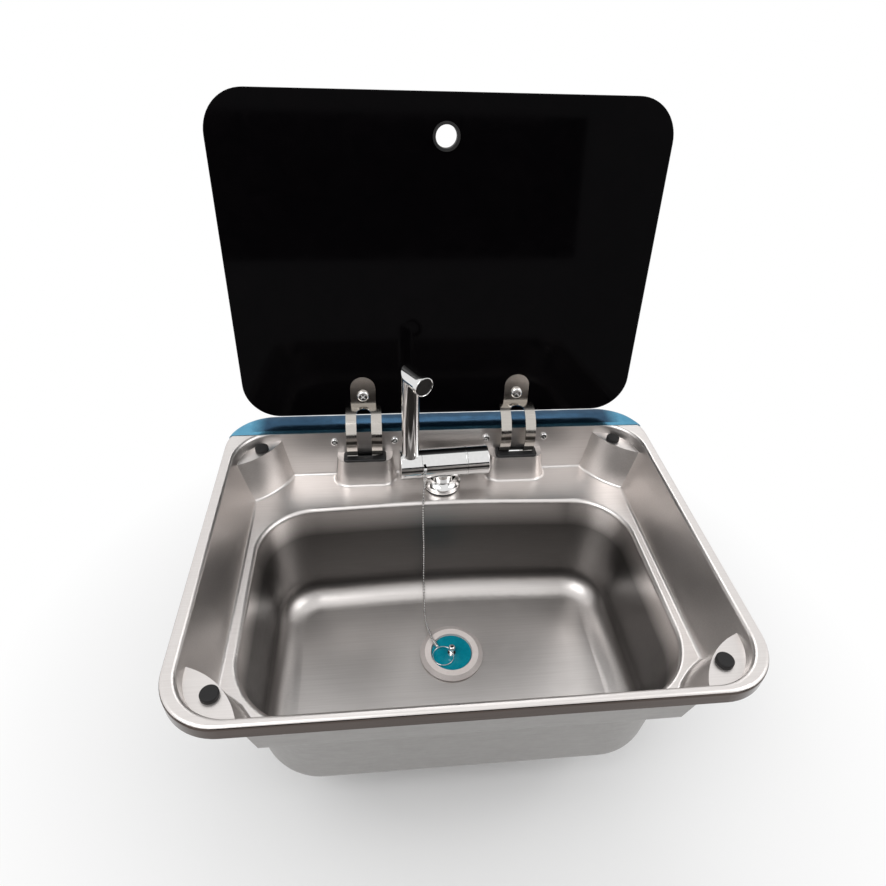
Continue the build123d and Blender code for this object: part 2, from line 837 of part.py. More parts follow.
with BuildPart() as tap_handle:
    bar(handle_start, handle_start + handle_length, body_diameter)
    fillet(tap_handle.faces().sort_by(body_axis)[-1].edges(), handle_round)
    bar(
        handle_start,
        handle_start + cartridge_reach + fit_gap,
        cartridge_diameter + 2 * running_clearance,
        Mode.SUBTRACT,
    )
finish(tap_handle, "tap_handle")

with BuildPart() as tap_collar:
    bar(-body_half - side_clearance - collar_length, -body_half - side_clearance, body_diameter)
    fillet(tap_collar.faces().sort_by(body_axis)[0].edges(), collar_round)
    bar(-body_half - side_clearance, -body_half + spigot_length, spigot_diameter)
    with BuildSketch(Plane.XY.offset(body_z - arm_seat)):
        with Locations(arm_foot):
            Circle(arm_diameter / 2 + running_clearance)
    extrude(amount=body_diameter, mode=Mode.SUBTRACT)
finish(tap_collar, "tap_collar")

spout_angle = radians(tap_turn + spout_turn)
spout_way = Vector(sin(spout_angle), -cos(spout_angle), 0)
arm_low = Vector(*arm_foot, body_z - arm_seat + running_clearance)
arm_high = Vector(*arm_foot, body_z + arm_height)
spout_end = arm_high + spout_way * spout_reach


def mitred_tube(diameter, low, high, end, mode):
    """An upright tube with a mitred corner into a level one, in the current part."""
    with BuildLine() as way:
        Polyline(low, high, end)
    with BuildSketch(Plane(origin=low, z_dir=(0, 0, 1))) as section:
        Circle(diameter / 2)
    sweep(section.sketch, path=way.wire(), transition=Transition.RIGHT, mode=mode)


with BuildPart() as tap_arm:
    mitred_tube(arm_diameter, arm_low, arm_high, spout_end, Mode.ADD)
    bore_low = arm_low + Vector(0, 0, arm_plug)
    mitred_tube(arm_bore, bore_low, arm_high, spout_end + spout_way, Mode.SUBTRACT)
finish(tap_arm, "tap_arm")

aerator_plane = Plane(origin=spout_end, z_dir=spout_way)
with BuildPart() as aerator_ring:
    ring(aerator_plane, aerator_diameter, arm_bore - 2 * aerator_wall, aerator_height)
    outside = aerator_ring.edges().filter_by(GeomType.CIRCLE).sort_by(SortBy.RADIUS)[-2:]
    fillet(outside, aerator_round)
    ring(aerator_plane, arm_bore - 2 * fit_gap, arm_bore - 2 * aerator_wall, -aerator_tail)
finish(aerator_ring, "aerator_ring")

with BuildPart() as aerator_screen:
    spot = aerator_plane.offset(aerator_height - aerator_recess)
    with BuildSketch(spot):
        Circle(arm_bore / 2 - aerator_wall - fit_gap / 2)
    extrude(amount=-aerator_screen_height)
finish(aerator_screen, "aerator_screen")

under = ledge_top - sheet
with BuildPart() as tap_shank:
    top = base_z + shank_seat - fit_gap
    ring(tap_spot.offset(top), shank_diameter, shank_bore, -(top - under + shank_length))
finish(tap_shank, "tap_shank")

with BuildPart() as tap_washer:
    ring(tap_spot.offset(under), tap_washer_diameter, shank_diameter + 2 * hole_gap, -tap_washer_height)
finish(tap_washer, "tap_washer")

with BuildPart() as tap_nut:
    with BuildSketch(tap_spot.offset(under - tap_washer_height)):
        RegularPolygon(tap_nut_across / 2, 6, major_radius=False)
        Circle(shank_diameter / 2 + running_clearance, mode=Mode.SUBTRACT)
    extrude(amount=-tap_nut_height)
finish(tap_nut, "tap_nut")

with BuildPart() as inlet_tails:
    with BuildSketch(tap_spot.offset(under)):
        with Locations((-tail_spacing / 2, 0), (tail_spacing / 2, 0)):
            Circle(tail_diameter / 2)
    extrude(amount=-shank_length - tail_length)
finish(inlet_tails, "inlet_tails")

# -------------------------------------------------------------- waste and plug

waste_spot = Plane.XY.shift_origin((waste_x, waste_y, 0))
floor_under = floor_top - sheet
flange_low = floor_top + waste_seal_height
flange_top = flange_low + waste_flange_height
barrel_low = floor_under - waste_depth


def turned(points):
    """A body turned about the waste's axis from radius and height points."""
    with BuildSketch(Plane.XZ.offset(-waste_y)) as section:
        with BuildLine():
            Polyline(*[(waste_x + radius, height) for radius, height in points], close=True)
        make_face()
    revolve(section.sketch, axis=Axis((waste_x, waste_y, 0), (0, 0, 1)))


with BuildPart() as waste_flange:
    outer, barrel, bore = waste_flange_diameter / 2, waste_barrel / 2, waste_bore / 2
    turned(
        [
            (outer, flange_low),
            (outer, flange_low + flange_edge),
            (outer - flange_bevel, flange_top),
            (plug_seat, flange_top),
            (plug_seat, flange_top - seat_wall),
            (bore, flange_top - seat_drop),
            (bore, barrel_low),
            (barrel, barrel_low),
            (barrel, flange_low),
        ]
    )
    with BuildSketch(waste_spot.offset(flange_top - strainer_drop)):
        Circle(bore)
        with PolarLocations(strainer_pitch, strainer_holes):
            SlotCenterToCenter(strainer_slot, strainer_slot_width, mode=Mode.SUBTRACT)
        Circle(strainer_hub_hole, mode=Mode.SUBTRACT)
    extrude(amount=-strainer_height)
finish(waste_flange, "waste_flange")

with BuildPart() as waste_seal:
    ring(
        waste_spot.offset(floor_top),
        waste_flange_diameter - 2 * flange_edge,
        waste_barrel + 2 * hole_gap,
        waste_seal_height,
    )
finish(waste_seal, "waste_seal")

with BuildPart() as waste_washer:
    ring(
        waste_spot.offset(floor_under), waste_nut_diameter, waste_barrel + 2 * hole_gap, -washer_height
    )
finish(waste_washer, "waste_washer")

nut_top = floor_under - washer_height
with BuildPart() as waste_nut:
    ring(
        waste_spot.offset(nut_top),
        waste_nut_diameter,
        waste_barrel + 2 * running_clearance,
        -waste_nut_height,
    )
    with BuildSketch(waste_spot.offset(nut_top)):
        with PolarLocations(waste_nut_diameter / 2, waste_nut_ribs):
            Rectangle(waste_nut_rib, waste_nut_rib)
    extrude(amount=-waste_nut_height)
finish(waste_nut, "waste_nut")

cup_top = nut_top - waste_nut_height - cup_gap
cup_low = barrel_low - cup_floor
spigot_axis_z = cup_low + waste_wall + hose_spigot_diameter / 2
spigot_root = waste_barrel / 2 + running_clearance + waste_wall + spigot_shoulder_width
spigot_way = (sin(radians(spigot_turn)), cos(radians(spigot_turn)), 0)
spigot_plane = Plane(origin=(waste_x, waste_y, spigot_axis_z), z_dir=spigot_way)
cup_inner = waste_barrel / 2 + running_clearance
cup_outer = cup_inner + waste_wall
with BuildPart() as waste_elbow:
    turned(
        [
            (0, cup_low),
            (cup_outer - cup_bevel, cup_low),
            (cup_outer, cup_low + cup_bevel),
            (cup_outer, cup_top),
            (cup_inner, cup_top),
            (cup_inner, barrel_low - fit_gap),
            (cup_inner - waste_wall, barrel_low - fit_gap),
            (cup_inner - waste_wall, cup_low + waste_wall),
            (0, cup_low + waste_wall),
        ]
    )
    with BuildSketch(spigot_plane):
        Circle(hose_spigot_diameter / 2 + spigot_shoulder)
    extrude(amount=spigot_root)
    with BuildSketch(spigot_plane):
        Circle(hose_spigot_diameter / 2)
    extrude(amount=spigot_root + hose_spigot_length)
    with BuildSketch(spigot_plane):
        Circle(hose_spigot_bore / 2)
    extrude(amount=spigot_root + hose_spigot_length, mode=Mode.SUBTRACT)
    with BuildSketch(waste_spot.offset(cup_low + waste_wall)):
        Circle(cup_inner - waste_wall)
    extrude(amount=barrel_low - fit_gap - cup_low - waste_wall, mode=Mode.SUBTRACT)
finish(waste_elbow, "waste_elbow")

plug_low = flange_top - seat_drop + fit_gap
plug_top = flange_top - plug_sink
with BuildPart() as plug:
    turned(
        [
            (0, plug_low - plug_height),
            (plug_foot, plug_low - plug_height),
            (plug_diameter / 2 - plug_taper, plug_low),
            (plug_diameter / 2, plug_top - plug_crown),
            (plug_diameter / 2 - plug_crown, plug_top),
            (knob_foot / 2, plug_top - plug_hollow),
            (0, plug_top - plug_hollow),
        ]
    )
    with BuildSketch(waste_spot.offset(plug_top)):
        Circle(knob_stem / 2 + fit_gap / 2)
    extrude(amount=-knob_seat, mode=Mode.SUBTRACT)
finish(plug, "plug")

ring_middle = (split_ring_diameter - split_ring_wire) / 2
ring_way = Vector(cos(radians(ring_turn)), sin(radians(ring_turn)), 0)
knob_base = plug_top - plug_hollow
ring_z = knob_base + knob_height / 2
with BuildPart() as plug_knob:
    with BuildSketch(waste_spot.offset(plug_top - knob_seat)):
        Circle(knob_stem / 2)
    extrude(amount=knob_base + knob_height - plug_top + knob_seat)
    with BuildSketch(waste_spot.offset(knob_base)):
        Circle(knob_foot / 2)
    extrude(amount=knob_foot_height)
    with BuildSketch(waste_spot.offset(knob_base + knob_height)):
        Circle(knob_diameter / 2)
    extrude(amount=knob_cap)
    fillet(plug_knob.faces().sort_by(Axis.Z)[-1].edges(), knob_round)
    rounds = plug_knob.edges().filter_by(GeomType.CIRCLE)
    low = rounds.filter_by_position(
        Axis.Z, knob_base + knob_height - fit_gap, knob_base + knob_height + fit_gap
    )
    fillet(low.sort_by(SortBy.RADIUS)[-1], knob_round / 2)
    across = Vector(-ring_way.Y, ring_way.X, 0)
    with BuildSketch(Plane(origin=(waste_x, waste_y, ring_z), z_dir=across)):
        Circle(ring_hole / 2)
    extrude(amount=knob_diameter, both=True, mode=Mode.SUBTRACT)
finish(plug_knob, "plug_knob")

ring_centre = Vector(waste_x, waste_y, ring_z) + ring_way * ring_middle
with BuildPart() as split_ring:
    with BuildSketch(Plane(origin=ring_centre + ring_way * ring_middle, z_dir=across)):
        Circle(split_ring_wire / 2)
    revolve(axis=Axis(ring_centre, (0, 0, 1)))
finish(split_ring, "split_ring")

coupling_way = Vector(cos(radians(coupling_turn)), sin(radians(coupling_turn)), 0)
coupling_start = (
    ring_centre
    + coupling_way * (split_ring_diameter / 2 + side_clearance)
    + Vector(0, 0, coupling_rise)
)
with BuildPart() as chain_coupling:
    with BuildSketch(Plane(origin=coupling_start, z_dir=coupling_way)):
        Circle(coupling_diameter / 2)
    extrude(amount=coupling_length)
    fillet(chain_coupling.edges().filter_by(GeomType.CIRCLE), coupling_round)
finish(chain_coupling, "chain_coupling")

# The chain hangs free between the tap's lug and the coupling
lug_spot = body_plane.offset(-lug_place).from_local_coords(Vector(lug_height, lug_reach, 0))
chain_top = lug_spot - Vector(0, 0, lug_width / 2 + chain_gap)
chain_end = coupling_start + coupling_way * (coupling_length + chain_gap)
chain_route = [chain_top] + [Vector(*point) for point in chain_points] + [chain_end]


def hanging_tube(route, diameter):
    """A tube along straight runs joined by the largest arcs that the runs allow."""
    bends = []
    for before, here, after in zip(route, route[1:], route[2:]):
        turn = (here - before).get_angle(after - here)
        shorter = min((here - before).length, (after - here).length)
        bends.append(bend_share * shorter / tan(radians(turn / 2)))
    print("bend radii", [round(bend, 1) for bend in bends])
    with BuildLine() as way:
        FilletPolyline(*route, radius=bends)
    with BuildSketch(Plane(origin=route[0], z_dir=route[1] - route[0])) as section:
        Circle(diameter / 2)
    sweep(section.sketch, path=way.wire())
    return way.wire().length


with BuildPart() as ball_chain:
    chain_length = hanging_tube(chain_route, chain_ball)
filled = ball_chain.part.volume / (pi / 4 * chain_ball**2 * chain_length)
print("chain length", round(chain_length, 1), "volume over section times length", round(filled, 4))
finish(ball_chain, "ball_chain")
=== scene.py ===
import json
from math import cos, pi, radians, sin

import bpy
from mathutils import Matrix, Vector


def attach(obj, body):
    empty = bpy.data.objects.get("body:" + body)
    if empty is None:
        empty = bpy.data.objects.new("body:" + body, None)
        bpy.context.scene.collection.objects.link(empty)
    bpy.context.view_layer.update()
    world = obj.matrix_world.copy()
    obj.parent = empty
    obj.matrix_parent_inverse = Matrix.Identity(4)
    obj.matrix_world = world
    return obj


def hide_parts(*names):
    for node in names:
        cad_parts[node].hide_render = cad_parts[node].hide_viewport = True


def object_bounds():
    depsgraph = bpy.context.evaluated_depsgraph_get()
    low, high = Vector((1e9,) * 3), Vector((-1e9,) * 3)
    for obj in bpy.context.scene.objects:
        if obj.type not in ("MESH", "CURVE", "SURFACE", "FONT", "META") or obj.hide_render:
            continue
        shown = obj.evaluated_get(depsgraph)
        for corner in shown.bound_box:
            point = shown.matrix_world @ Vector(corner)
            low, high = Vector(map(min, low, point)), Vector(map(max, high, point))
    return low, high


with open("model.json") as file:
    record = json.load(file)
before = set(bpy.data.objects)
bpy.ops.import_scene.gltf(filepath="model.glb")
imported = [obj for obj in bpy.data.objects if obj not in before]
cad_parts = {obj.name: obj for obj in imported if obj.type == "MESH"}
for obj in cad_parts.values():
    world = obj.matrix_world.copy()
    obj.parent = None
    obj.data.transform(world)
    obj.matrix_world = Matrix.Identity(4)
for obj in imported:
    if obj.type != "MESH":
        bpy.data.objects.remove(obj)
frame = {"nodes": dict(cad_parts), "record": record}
nodes = frame["nodes"]
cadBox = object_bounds()
record = frame["record"]
bodyOf = {name: body for body, names in record["behaviour"]["bodies"].items() for name in names}
slotOf = {part["node"]: part["material_slot"] for part in record["subparts"]}


def deselectAll():
    if bpy.context.object and bpy.context.object.mode != "OBJECT":
        bpy.ops.object.mode_set(mode="OBJECT")
    bpy.ops.object.select_all(action="DESELECT")


deselectAll()  # the frame's pieces come in selected

view = {
    "place": (-0.05998, -0.37748, 0.39454),
    "pan": -6.914,  # degrees, as the next two
    "tilt": 52.358,
    "roll": 2.541,
    "lens": 25.66,
    "sensor": 36.0,
    "nearest": 0.01,
}


def makeCamera():
    bpy.ops.object.camera_add(location=(0, 0, 0))
    camera = bpy.context.object
    camera.name = "viewCamera"
    turn = (
        Matrix.Rotation(radians(view["pan"]), 4, "Z")
        @ Matrix.Rotation(radians(view["tilt"]), 4, "X")
        @ Matrix.Rotation(radians(view["roll"]), 4, "Z")
    )
    camera.matrix_world = Matrix.Translation(view["place"]) @ turn
    camera.data.lens = view["lens"]
    camera.data.sensor_width = view["sensor"]
    camera.data.clip_start = view["nearest"]
    bpy.context.scene.camera = camera
    print("camera placed")


studio = {
    "floorDrop": 0.0015,
    "floorRadius": 6.0,
    "floorSides": 96,
    "floorTone": 0.93,
    "floorRough": 0.9,
    "fadeStart": 0.14,  # this far out the floor begins to pass into plain white
    "fadeEnd": 0.48,
    "worldStrength": 0.50,  # how strongly the world lights the sink
    "seenStrength": 1.0,  # how bright the background looks, where 1 is white
    "aim": (0, 0, 0.03),  # what the lamps and cards face
}

lamps = {
    "keyLamp": {"place": (-0.9, -0.7, 1.5), "size": 1.1, "power": 13.0},
    "fillLamp": {"place": (1.3, -0.4, 1.1), "size": 0.9, "power": 6.0},
    "backLamp": {"place": (0.2, 1.3, 1.4), "size": 0.9, "power": 5.0},
}

# dark cards that only shiny surfaces see, so that metal has something to show beside white
darkCards = {
    "tone": (0.012, 0.011, 0.012, 1),
    "cards": {
        "leftCard": {"place": (-1.15, -0.75, 0.20), "size": (0.34, 0.60)},
        "rightCard": {"place": (0.95, -0.85, 0.20), "size": (0.24, 0.60)},
        "frontCard": {"place": (-0.05, -1.35, 0.16), "size": (1.3, 0.42)},
    },
}


def newMaterial(name):
    material = bpy.data.materials.new(name)
    material.use_nodes = True
    tree = material.node_tree
    tree.nodes.clear()
    output = tree.nodes.new("ShaderNodeOutputMaterial")
    return material, tree, output


def connect(tree, source, target):
    tree.links.new(source, target)


def mathNode(tree, operation, first, second=None):
    node = tree.nodes.new("ShaderNodeMath")
    node.operation = operation
    for index, value in enumerate((first, second)):
        if value is None:
            continue
        if isinstance(value, (int, float)):
            node.inputs[index].default_value = value
        else:
            connect(tree, value, node.inputs[index])
    return node.outputs[0]


def levelBetween(tree, factor, low, high, start=0.0, end=1.0):
    span = tree.nodes.new("ShaderNodeMapRange")
    span.inputs["From Min"].default_value = start
    span.inputs["From Max"].default_value = end
    span.inputs["To Min"].default_value = low
    span.inputs["To Max"].default_value = high
    connect(tree, factor, span.inputs["Value"])
    return span.outputs["Result"]


def seenRays(tree):
    # 1 for what the camera, a shiny surface or glass sees, 0 for plain lighting
    paths = tree.nodes.new("ShaderNodeLightPath")
    direct = mathNode(tree, "MAXIMUM", paths.outputs["Is Camera Ray"], paths.outputs["Is Glossy Ray"])
    return mathNode(tree, "MAXIMUM", direct, paths.outputs["Is Transmission Ray"])


def makeBackground():
    world = bpy.data.worlds.new("studioWorld")
    bpy.context.scene.world = world
    world.use_nodes = True
    tree = world.node_tree
    tree.nodes.clear()
    output = tree.nodes.new("ShaderNodeOutputWorld")
    background = tree.nodes.new("ShaderNodeBackground")
    background.inputs["Color"].default_value = (1, 1, 1, 1)
    level = levelBetween(tree, seenRays(tree), studio["worldStrength"], studio["seenStrength"])
    connect(tree, level, background.inputs["Strength"])
    connect(tree, background.outputs[0], output.inputs["Surface"])
    print("world made")


def makeFloor():
    # a wide disc that keeps the shadow near the sink and turns plain white further out
    level = cadBox[0][2] - studio["floorDrop"]
    bpy.ops.mesh.primitive_circle_add(
        vertices=studio["floorSides"],
        radius=studio["floorRadius"],
        fill_type="NGON",
        location=(0, 0, level),
    )
    floor = bpy.context.object
    floor.name = "studioFloor"
    bpy.ops.object.transform_apply(location=True, rotation=False, scale=False)
    material, tree, output = newMaterial("paleFloor")
    shader = tree.nodes.new("ShaderNodeBsdfPrincipled")
    tone = studio["floorTone"]
    shader.inputs["Base Color"].default_value = (tone, tone, tone, 1)
    shader.inputs["Roughness"].default_value = studio["floorRough"]
    plain = tree.nodes.new("ShaderNodeEmission")
    plain.inputs["Strength"].default_value = studio["seenStrength"]
    coordinates = tree.nodes.new("ShaderNodeTexCoord")
    flat = tree.nodes.new("ShaderNodeVectorMath")
    flat.operation = "MULTIPLY"
    flat.inputs[1].default_value = (1, 1, 0)
    connect(tree, coordinates.outputs["Object"], flat.inputs[0])
    reach = tree.nodes.new("ShaderNodeVectorMath")
    reach.operation = "LENGTH"
    connect(tree, flat.outputs["Vector"], reach.inputs[0])
    fade = levelBetween(tree, reach.outputs["Value"], 0.0, 1.0, studio["fadeStart"], studio["fadeEnd"])
    blend = tree.nodes.new("ShaderNodeMixShader")
    connect(tree, mathNode(tree, "MULTIPLY", fade, seenRays(tree)), blend.inputs[0])
    connect(tree, shader.outputs[0], blend.inputs[1])
    connect(tree, plain.outputs[0], blend.inputs[2])
    connect(tree, blend.outputs[0], output.inputs["Surface"])
    floor.data.materials.append(material)
    deselectAll()
    print("floor laid")


def makeLight(name, lamp):
    bpy.ops.object.light_add(type="AREA", location=lamp["place"])
    light = bpy.context.object
    light.name = name
    light.data.size = lamp["size"]
    light.data.energy = lamp["power"]
    aim = Vector(studio["aim"]) - Vector(lamp["place"])
    light.rotation_euler = aim.to_track_quat("-Z", "Y").to_euler()
    deselectAll()


def makeDarkCards():
    material, tree, output = newMaterial("darkCard")
    shader = tree.nodes.new("ShaderNodeEmission")
    shader.inputs["Color"].default_value = darkCards["tone"]
    connect(tree, shader.outputs[0], output.inputs["Surface"])
    for name, card in darkCards["cards"].items():
        bpy.ops.mesh.primitive_plane_add(size=1, location=card["place"])
        piece = bpy.context.object
        piece.name = name
        piece.scale = (*card["size"], 1)
        facing = Vector(studio["aim"]) - Vector(card["place"])
        facing.z = 0
        piece.rotation_euler = facing.to_track_quat("Z", "Y").to_euler()
        piece.visible_camera = False
        piece.visible_diffuse = False
        piece.visible_shadow = False
        piece.visible_transmission = False
        piece.data.materials.append(material)
        deselectAll()
    print("dark cards stood")


makeCamera()
makeBackground()
makeFloor()
for lampName, lampValues in lamps.items():
    makeLight(lampName, lampValues)
makeDarkCards()
bpy.context.scene.view_settings.view_transform = "Standard"
print("studio made")


def newGroup(name, values, result):
    group = bpy.data.node_groups.new(name, "ShaderNodeTree")
    group.interface.new_socket(name="Vector", in_out="INPUT", socket_type="NodeSocketVector")
    for socketName, value in values.items():
        socket = group.interface.new_socket(
            name=socketName, in_out="INPUT", socket_type="NodeSocketFloat"
        )
        socket.default_value = value
    group.interface.new_socket(name=result, in_out="OUTPUT", socket_type="NodeSocketFloat")
    return group, group.nodes.new("NodeGroupInput"), group.nodes.new("NodeGroupOutput")


def noiseNode(tree, vector, scale, detail, distortion=0.0):
    noise = tree.nodes.new("ShaderNodeTexNoise")
    noise.inputs["Detail"].default_value = detail
    noise.inputs["Distortion"].default_value = distortion
    if isinstance(scale, (int, float)):
        noise.inputs["Scale"].default_value = scale
    else:
        connect(tree, scale, noise.inputs["Scale"])
    connect(tree, vector, noise.inputs["Vector"])
    return noise.outputs["Fac"]


grainDetail = 3.0
toothDetail = 4.0

smudges = {
    "broadDetail": 2.0,
    "finer": 7.0,  # the touch marks are this many times finer than the cloudiness
    "fineDetail": 5.0,
    "fineWarp": 0.6,
    "lift": 2.6,
}


def makeStreakGroup():
    # grain drawn out along X
    group, start, end = newGroup("drawnGrain", {"Across": 900.0, "Along": 14.0}, "Grain")
    scales = group.nodes.new("ShaderNodeCombineXYZ")
    connect(group, start.outputs["Along"], scales.inputs["X"])
    connect(group, start.outputs["Across"], scales.inputs["Y"])
    connect(group, start.outputs["Across"], scales.inputs["Z"])
    stretched = group.nodes.new("ShaderNodeVectorMath")
    stretched.operation = "MULTIPLY"
    connect(group, start.outputs["Vector"], stretched.inputs[0])
    connect(group, scales.outputs[0], stretched.inputs[1])
    connect(group, noiseNode(group, stretched.outputs[0], 1.0, grainDetail), end.inputs["Grain"])
    return group


def makeSmudgeGroup():
    # broad cloudiness with finer touch marks in it
    group, start, end = newGroup("handlingMarks", {"Size": 18.0}, "Marks")
    place = start.outputs["Vector"]
    broad = noiseNode(group, place, start.outputs["Size"], smudges["broadDetail"])
    fineSize = mathNode(group, "MULTIPLY", start.outputs["Size"], smudges["finer"])
    fine = noiseNode(group, place, fineSize, smudges["fineDetail"], smudges["fineWarp"])
    both = mathNode(group, "MULTIPLY", broad, fine)
    lifted = mathNode(group, "MULTIPLY", both, smudges["lift"])
    connect(group, mathNode(group, "MINIMUM", lifted, 1.0), end.inputs["Marks"])
    return group


def makeSpeckGroup():
    # fine even tooth, as a moulded or cast skin has
    group, start, end = newGroup("mouldedTooth", {"Fineness": 1400.0}, "Tooth")
    tooth = noiseNode(group, start.outputs["Vector"], start.outputs["Fineness"], toothDetail)
    connect(group, tooth, end.inputs["Tooth"])
    return group


grainGroup = makeStreakGroup()
marksGroup = makeSmudgeGroup()
toothGroup = makeSpeckGroup()


def placeGroup(tree, group, values):
    node = tree.nodes.new("ShaderNodeGroup")
    node.node_tree = group
    coordinates = tree.nodes.new("ShaderNodeTexCoord")
    connect(tree, coordinates.outputs["Object"], node.inputs["Vector"])
    for name, value in values.items():
        node.inputs[name].default_value = value
    return node.outputs[0]


def toneBetween(tree, factor, dark, light):
    mix = tree.nodes.new("ShaderNodeMix")
    mix.data_type = "RGBA"
    mix.inputs["A"].default_value = (*dark, 1)
    mix.inputs["B"].default_value = (*light, 1)
    connect(tree, factor, mix.inputs["Factor"])
    return mix.outputs["Result"]


def bumpFrom(tree, height, distance, strength):
    bump = tree.nodes.new("ShaderNodeBump")
    bump.inputs["Distance"].default_value = distance
    bump.inputs["Strength"].default_value = strength
    connect(tree, height, bump.inputs["Height"])
    return bump.outputs["Normal"]


# tones are linear, and rough runs from the clean to the handled patches
# grain is how fine it is across and along, and relief its height and strength
metals = {
    "satinSteel": {
        "dark": (0.64, 0.605, 0.586), "light": (0.77, 0.737, 0.718), "rough": (0.29, 0.36),
        "grain": (900, 14), "relief": (0.00002, 0.22), "marks": 16,
        # between these heights the bowl's walls get painted shade: their tone is scaled down to this
        # share, standing in for the dark things the walls mirror; the floor and the rim keep their
        # tone
        "walls": {"top": (-0.047, -0.072), "foot": (-0.154, -0.138), "tone": 0.17},
    },
    # painted reflection: the lip's dark brown tone stands in for the dark things its mirrored steel
    # shows
    "mirrorLip": {
        "dark": (0.060, 0.047, 0.041), "light": (0.115, 0.092, 0.082), "rough": (0.12, 0.2),
        "grain": (900, 14), "relief": (0.00002, 0.1), "marks": 20,
    },
    # the underside's steel is given a darker, rougher tone
    "coatedUnderside": {
        "dark": (0.32, 0.31, 0.302), "light": (0.41, 0.40, 0.392), "rough": (0.42, 0.55),
        "grain": (500, 60), "relief": (0.00003, 0.3), "marks": 30,
    },
    "polishedArm": {
        "dark": (0.46, 0.43, 0.395), "light": (0.60, 0.57, 0.53), "rough": (0.08, 0.17),
        "grain": (1500, 60), "relief": (0.00001, 0.3), "marks": 60,
    },
    "chromePlate": {
        "dark": (0.70, 0.695, 0.69), "light": (0.78, 0.775, 0.77), "rough": (0.03, 0.08),
        "grain": (300, 300), "relief": (0.000004, 0.15), "marks": 45,
    },
    "brightZinc": {
        "dark": (0.50, 0.51, 0.51), "light": (0.62, 0.63, 0.64), "rough": (0.25, 0.38),
        "grain": (700, 500), "relief": (0.00002, 0.3), "marks": 90,
    },
    "wovenSteel": {
        "dark": (0.03, 0.028, 0.027), "light": (0.10, 0.094, 0.09), "rough": (0.35, 0.5),
        "grain": (2600, 2600), "relief": (0.0001, 0.8), "marks": 90,
    },
    "beadMetal": {
        "dark": (0.30, 0.295, 0.29), "light": (0.46, 0.455, 0.45), "rough": (0.10, 0.18),
        "grain": (300, 300), "relief": (0.000004, 0.15), "marks": 45,
    },
    "turnedBrass": {
        "dark": (0.50, 0.36, 0.15), "light": (0.66, 0.49, 0.23), "rough": (0.2, 0.34),
        "grain": (900, 900), "relief": (0.00002, 0.3), "marks": 90,
    },
    "drawnCopper": {
        "dark": (0.54, 0.27, 0.16), "light": (0.68, 0.36, 0.22), "rough": (0.2, 0.36),
        "grain": (900, 30), "relief": (0.00002, 0.3), "marks": 90,
    },
}

plastics = {
    "mattRubber": {
        "dark": (0.008, 0.008, 0.009), "light": (0.018, 0.017, 0.017), "rough": (0.5, 0.68),
        "tooth": 1500, "relief": (0.00004, 0.5), "shine": 0.3,
    },
    "mouldedBlack": {
        "dark": (0.007, 0.007, 0.008), "light": (0.016, 0.016, 0.017), "rough": (0.3, 0.45),
        "tooth": 1700, "relief": (0.00003, 0.4), "shine": 0.4,
    },
    "warmWhite": {
        "dark": (0.80, 0.725, 0.695), "light": (0.88, 0.81, 0.78), "rough": (0.3, 0.42),
        "tooth": 1200, "relief": (0.00002, 0.3), "shine": 0.5,
    },
    "glossyTeal": {
        "dark": (0.0, 0.20, 0.285), "light": (0.002, 0.31, 0.41), "rough": (0.06, 0.14),
        "tooth": 900, "relief": (0.00002, 0.3), "shine": 0.8,
    },
    "milkyEdge": {
        "dark": (0.47, 0.42, 0.405), "light": (0.56, 0.51, 0.49), "rough": (0.25, 0.36),
        "tooth": 1200, "relief": (0.00002, 0.3), "shine": 0.5,
    },
}
plasticMarks = 60.0  # size of the clouding on all of them


# painted shade: the tone is scaled down between the given heights, so the bowl's walls read dark
def paintWallShade(tree, tone, walls):
    coordinates = tree.nodes.new("ShaderNodeTexCoord")
    apart = tree.nodes.new("ShaderNodeSeparateXYZ")
    connect(tree, coordinates.outputs["Object"], apart.inputs[0])
    below = levelBetween(tree, apart.outputs["Z"], 0.0, 1.0, *walls["top"])
    above = levelBetween(tree, apart.outputs["Z"], 0.0, 1.0, *walls["foot"])
    wall = mathNode(tree, "MULTIPLY", below, above)
    scale = tree.nodes.new("ShaderNodeVectorMath")
    scale.operation = "SCALE"
    connect(tree, tone, scale.inputs[0])
    connect(tree, levelBetween(tree, wall, 1.0, walls["tone"]), scale.inputs["Scale"])
    return scale.outputs["Vector"]


def metalFinish(name, look):
    # the grain tints the metal and lifts it a little, and handling dulls it
    material, tree, output = newMaterial(name)
    shader = tree.nodes.new("ShaderNodeBsdfPrincipled")
    across, along = look["grain"]
    grain = placeGroup(tree, grainGroup, {"Across": across, "Along": along})
    smudge = placeGroup(tree, marksGroup, {"Size": look["marks"]})
    tone = toneBetween(tree, grain, look["dark"], look["light"])
    # painted shade on the bowl's walls
    if "walls" in look:
        tone = paintWallShade(tree, tone, look["walls"])
    connect(tree, tone, shader.inputs["Base Color"])
    connect(tree, levelBetween(tree, smudge, *look["rough"]), shader.inputs["Roughness"])
    connect(tree, bumpFrom(tree, grain, *look["relief"]), shader.inputs["Normal"])
    shader.inputs["Metallic"].default_value = 1.0
    connect(tree, shader.outputs[0], output.inputs["Surface"])
    return material


